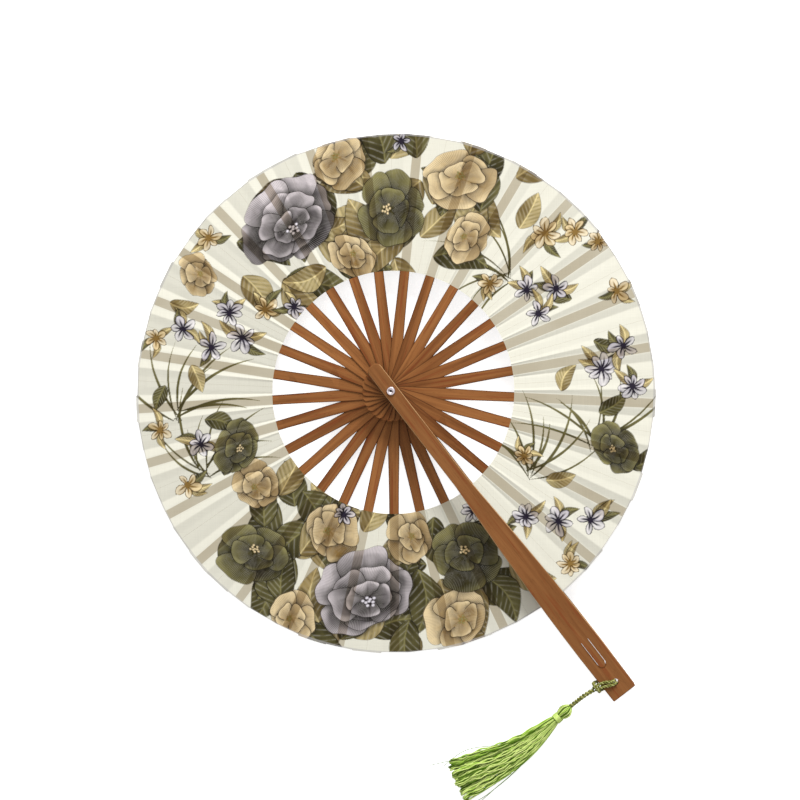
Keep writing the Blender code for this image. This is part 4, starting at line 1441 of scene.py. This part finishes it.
def make_skirt(materials):
    """The skirt of crimped threads in locks, spread flat, with a few stray ones."""
    route = tassel_route()
    length = route_length(route)
    random = np.random.default_rng(SKIRT_SEED)
    strands, kinds, tapers = [], [], []
    in_lock = sizes().skirt_threads // SKIRT_LOCKS
    share = np.linspace(0.0, 1.0, SKIRT_STEPS)
    half_width = SKIRT_NECK_RADIUS + (SKIRT_END_HALF_WIDTH - SKIRT_NECK_RADIUS) * share**0.8
    swell = np.sin(math.pi * np.minimum(share * 1.6, 1.0) / 2.0)
    half_height = SKIRT_NECK_RADIUS + (SKIRT_HALF_HEIGHT - SKIRT_NECK_RADIUS) * swell
    wide, high = half_width * 0.98, half_height * 0.96
    thinned = 0.62 + 0.38 * soft_step(share, 0.0, 0.25)
    for lock in range(SKIRT_LOCKS):
        turn = lock * GOLDEN_TURN
        place = math.sqrt((lock + 0.5) / SKIRT_LOCKS)
        height = place * math.sin(turn)
        drift = np.cumsum(random.normal(0.0, LOCK_DRIFT, len(share))) * share
        bends, phase = random.uniform(3.0, 9.0), random.uniform(0.0, 6.0)
        middle = place * math.cos(turn) + drift + 0.06 * np.sin(share * bends + phase) * share
        lock_end = length - SKIRT_END_GAP - abs(random.normal(0.0, LOCK_END_SPREAD))
        for thread in range(in_lock):
            out = math.sqrt((thread + 0.5) / in_lock)
            around = math.tau * thread * LOCK_TURN_SHARE + 1.7 * share * random.uniform(-1.0, 1.0)
            loose = LOCK_RADIUS * out * (0.45 + 0.55 * share)
            end = lock_end - abs(random.normal(0.0, THREAD_END_SPREAD))
            distances = SKIRT_START + (end - SKIRT_START) * share
            turns = math.tau * distances / random.uniform(*CRIMP_PITCHES)
            crimp = random.uniform(0.3, 1.0) * CRIMP * soft_step(share, 0.0, 0.3)
            across = middle * half_width * 0.93 + loose * np.cos(around)
            across = across + crimp * np.sin(turns + random.uniform(0.0, 6.0))
            up = height * 0.86 * half_height * (1.0 - 0.35 * middle**2)
            up = up + 0.7 * loose * np.sin(around)
            up = up + 0.5 * crimp * np.cos(turns + random.uniform(0.0, 6.0))
            offsets = np.stack([np.clip(across, -wide, wide), np.clip(up, -high, high)], axis=1)
            strands.append(round_route(route, distances, offsets))
            outer = np.mean(up[OUTER_SKIRT] / half_height[OUTER_SKIRT])
            above = float(outer) > random.uniform(-0.1, 0.4)
            kinds.append(int(random.choice(UPPER_KINDS if above else LOWER_KINDS)))
            tapers.append(random.uniform(0.75, 1.2) * thinned)
    ahead = route[-1] - route[-2]
    longer = np.vstack([route, route[-1] + ahead / np.linalg.norm(ahead) * STRAY_LENGTH])
    for steps in STRAY_THREADS:
        along, sideways, lift = np.array(smooth_route(steps, 8)).T
        strands.append(round_route(longer, along, np.stack([sideways, lift], axis=1)))
        kinds.append(2)
        tapers.append(np.full(len(along), STRAY_TAPER))
    mesh = strands_mesh("tassel_skirt_threads", strands, sizes().thread_radius, kinds, tapers)
    new_piece(mesh, materials, "tassel", "tassel_skirt")


# Camera, floor and lamps


def make_camera():
    """Camera a little to the right of the disc's axis and below it, as in the picture."""
    data = bpy.data.cameras.new("portrait_camera")
    data.sensor_width = CAMERA_SENSOR * 1000.0
    data.lens = CAMERA_SENSOR * 1000.0 * CAMERA_DISTANCE / VIEW_WIDTH
    camera = bpy.data.objects.new("portrait_camera", data)
    bpy.context.scene.collection.objects.link(camera)
    east, north = math.sin(CAMERA_TURN), math.cos(CAMERA_TURN)
    level = math.cos(CAMERA_TILT)
    back = Vector((east * level, math.sin(CAMERA_TILT), north * level))
    right = Vector((north, 0.0, -east))
    camera.location = Vector(CAMERA_AIM) + back * CAMERA_DISTANCE
    camera.rotation_euler = Matrix((right, back.cross(right), back)).transposed().to_euler()
    bpy.context.scene.camera = camera


def add_lamp(name, place, size, power):
    """Square soft lamp that faces the rivet."""
    data = bpy.data.lights.new(name, "AREA")
    data.shape = "SQUARE"
    data.size = size
    data.energy = power
    lamp = bpy.data.objects.new(name, data)
    bpy.context.scene.collection.objects.link(lamp)
    lamp.location = place
    lamp.rotation_euler = (-Vector(place)).to_track_quat("-Z", "Y").to_euler()


def make_stage():
    """Pale floor, a main lamp from above the picture, a faint front one and an even fill."""
    bm = bmesh.new()
    bmesh.ops.create_grid(bm, x_segments=2, y_segments=2, size=FLOOR_HALF_SIZE)
    bmesh.ops.translate(bm, verts=bm.verts, vec=(0.0, 0.0, -FLOOR_GAP))
    material, nodes = new_material("stage_floor_white")
    nodes.surface({
        "Base Color": (0.92, 0.92, 0.92, 1.0), "Roughness": 0.9, "Emission Color": WHITE,
        "Emission Strength": nodes.times(nodes.rays("Camera", "Glossy"), FLOOR_GLOW),
    })
    new_object("stage_floor", mesh_of(bm, "stage_floor"), (material,))
    for name, (place, size, share) in LAMPS.items():
        add_lamp(name, place, size, sizes().lamp_power * share)
    world = bpy.data.worlds.new("even_fill")
    bpy.context.scene.world = world
    world.use_nodes = True
    world.node_tree.nodes.clear()
    nodes = Nodes(world.node_tree)
    fill, seen = sizes().fill_strength, nodes.rays("Camera", "Glossy", "Transmission")
    strength = nodes.math("MULTIPLY_ADD", seen, 1.0 - fill, fill)
    light = nodes.add("ShaderNodeBackground", {"Color": WHITE, "Strength": strength})[0]
    nodes.add("ShaderNodeOutputWorld", {"Surface": light})
    bpy.context.scene.view_settings.view_transform = "Standard"


# Operators


class FAN_OT_camera(bpy.types.Operator):
    """Set the camera at the picture's viewing angle"""

    bl_idname = "fan.camera"
    bl_label = "Camera"

    def execute(self, context):
        make_camera()
        return {"FINISHED"}


class FAN_OT_finishes(bpy.types.Operator):
    """Make the shared node groups of bamboo, silk and thread"""

    bl_idname = "fan.finishes"
    bl_label = "Shared finishes"

    def execute(self, context):
        make_bamboo_group()
        make_silk_group()
        make_thread_group()
        return {"FINISHED"}


class FAN_OT_tassel(bpy.types.Operator):
    """Lay the loop, cord, head, binding and skirt of the tassel"""

    bl_idname = "fan.tassel"
    bl_label = "Tassel"

    def execute(self, context):
        cord, cord_route = make_cords()
        materials = thread_materials()
        make_tassel_head(materials)
        make_skirt(materials)
        return {"FINISHED"}


class FAN_OT_leaf(bpy.types.Operator):
    """Pleat and print the silk leaf, bay by bay"""

    bl_idname = "fan.leaf"
    bl_label = "Leaf"

    def execute(self, context):
        make_leaf()
        return {"FINISHED"}


class FAN_OT_bamboo(bpy.types.Operator):
    """Finish the ribs and guards in bamboo"""

    bl_idname = "fan.bamboo"
    bl_label = "Ribs and guards"

    def execute(self, context):
        make_bamboo()
        return {"FINISHED"}


class FAN_OT_rivet(bpy.types.Operator):
    """Turn the rivet"""

    bl_idname = "fan.rivet"
    bl_label = "Rivet"

    def execute(self, context):
        make_rivet()
        return {"FINISHED"}


class FAN_OT_stage(bpy.types.Operator):
    """Lay the floor and set the lamps"""

    bl_idname = "fan.stage"
    bl_label = "Stage"

    def execute(self, context):
        make_stage()
        return {"FINISHED"}


OPERATORS = (
    FAN_OT_camera, FAN_OT_finishes, FAN_OT_tassel, FAN_OT_leaf, FAN_OT_bamboo, FAN_OT_rivet,
    FAN_OT_stage,
)


class FAN_PT_panel(bpy.types.Panel):
    """Buttons and settings of the folding fan"""

    bl_idname = "FAN_PT_panel"
    bl_label = "Folding fan"
    bl_space_type = "VIEW_3D"
    bl_region_type = "UI"
    bl_category = "Folding fan"

    def draw(self, context):
        column = self.layout.column()
        for operator in OPERATORS:
            column.operator(operator.bl_idname)
        for group in (context.scene.fan_sizes, context.scene.fan_colours):
            box = self.layout.box()
            for name in group.__annotations__:
                box.prop(group, name)


CLASSES = (FanSizes, FanColours, *OPERATORS, FAN_PT_panel)


def register():
    """Registers the settings, the operators and the panel."""
    for kind in CLASSES:
        bpy.utils.register_class(kind)
    bpy.types.Scene.fan_sizes = PointerProperty(type=FanSizes)
    bpy.types.Scene.fan_colours = PointerProperty(type=FanColours)


def unregister():
    """Takes away what register added."""
    del bpy.types.Scene.fan_colours
    del bpy.types.Scene.fan_sizes
    for kind in reversed(CLASSES):
        bpy.utils.unregister_class(kind)


def main():
    """Builds the fan's pieces, one operator after another."""
    register()
    for operator in OPERATORS:
        group, name = operator.bl_idname.split(".")
        getattr(getattr(bpy.ops, group), name)()


if __name__ == "__main__":
    main()
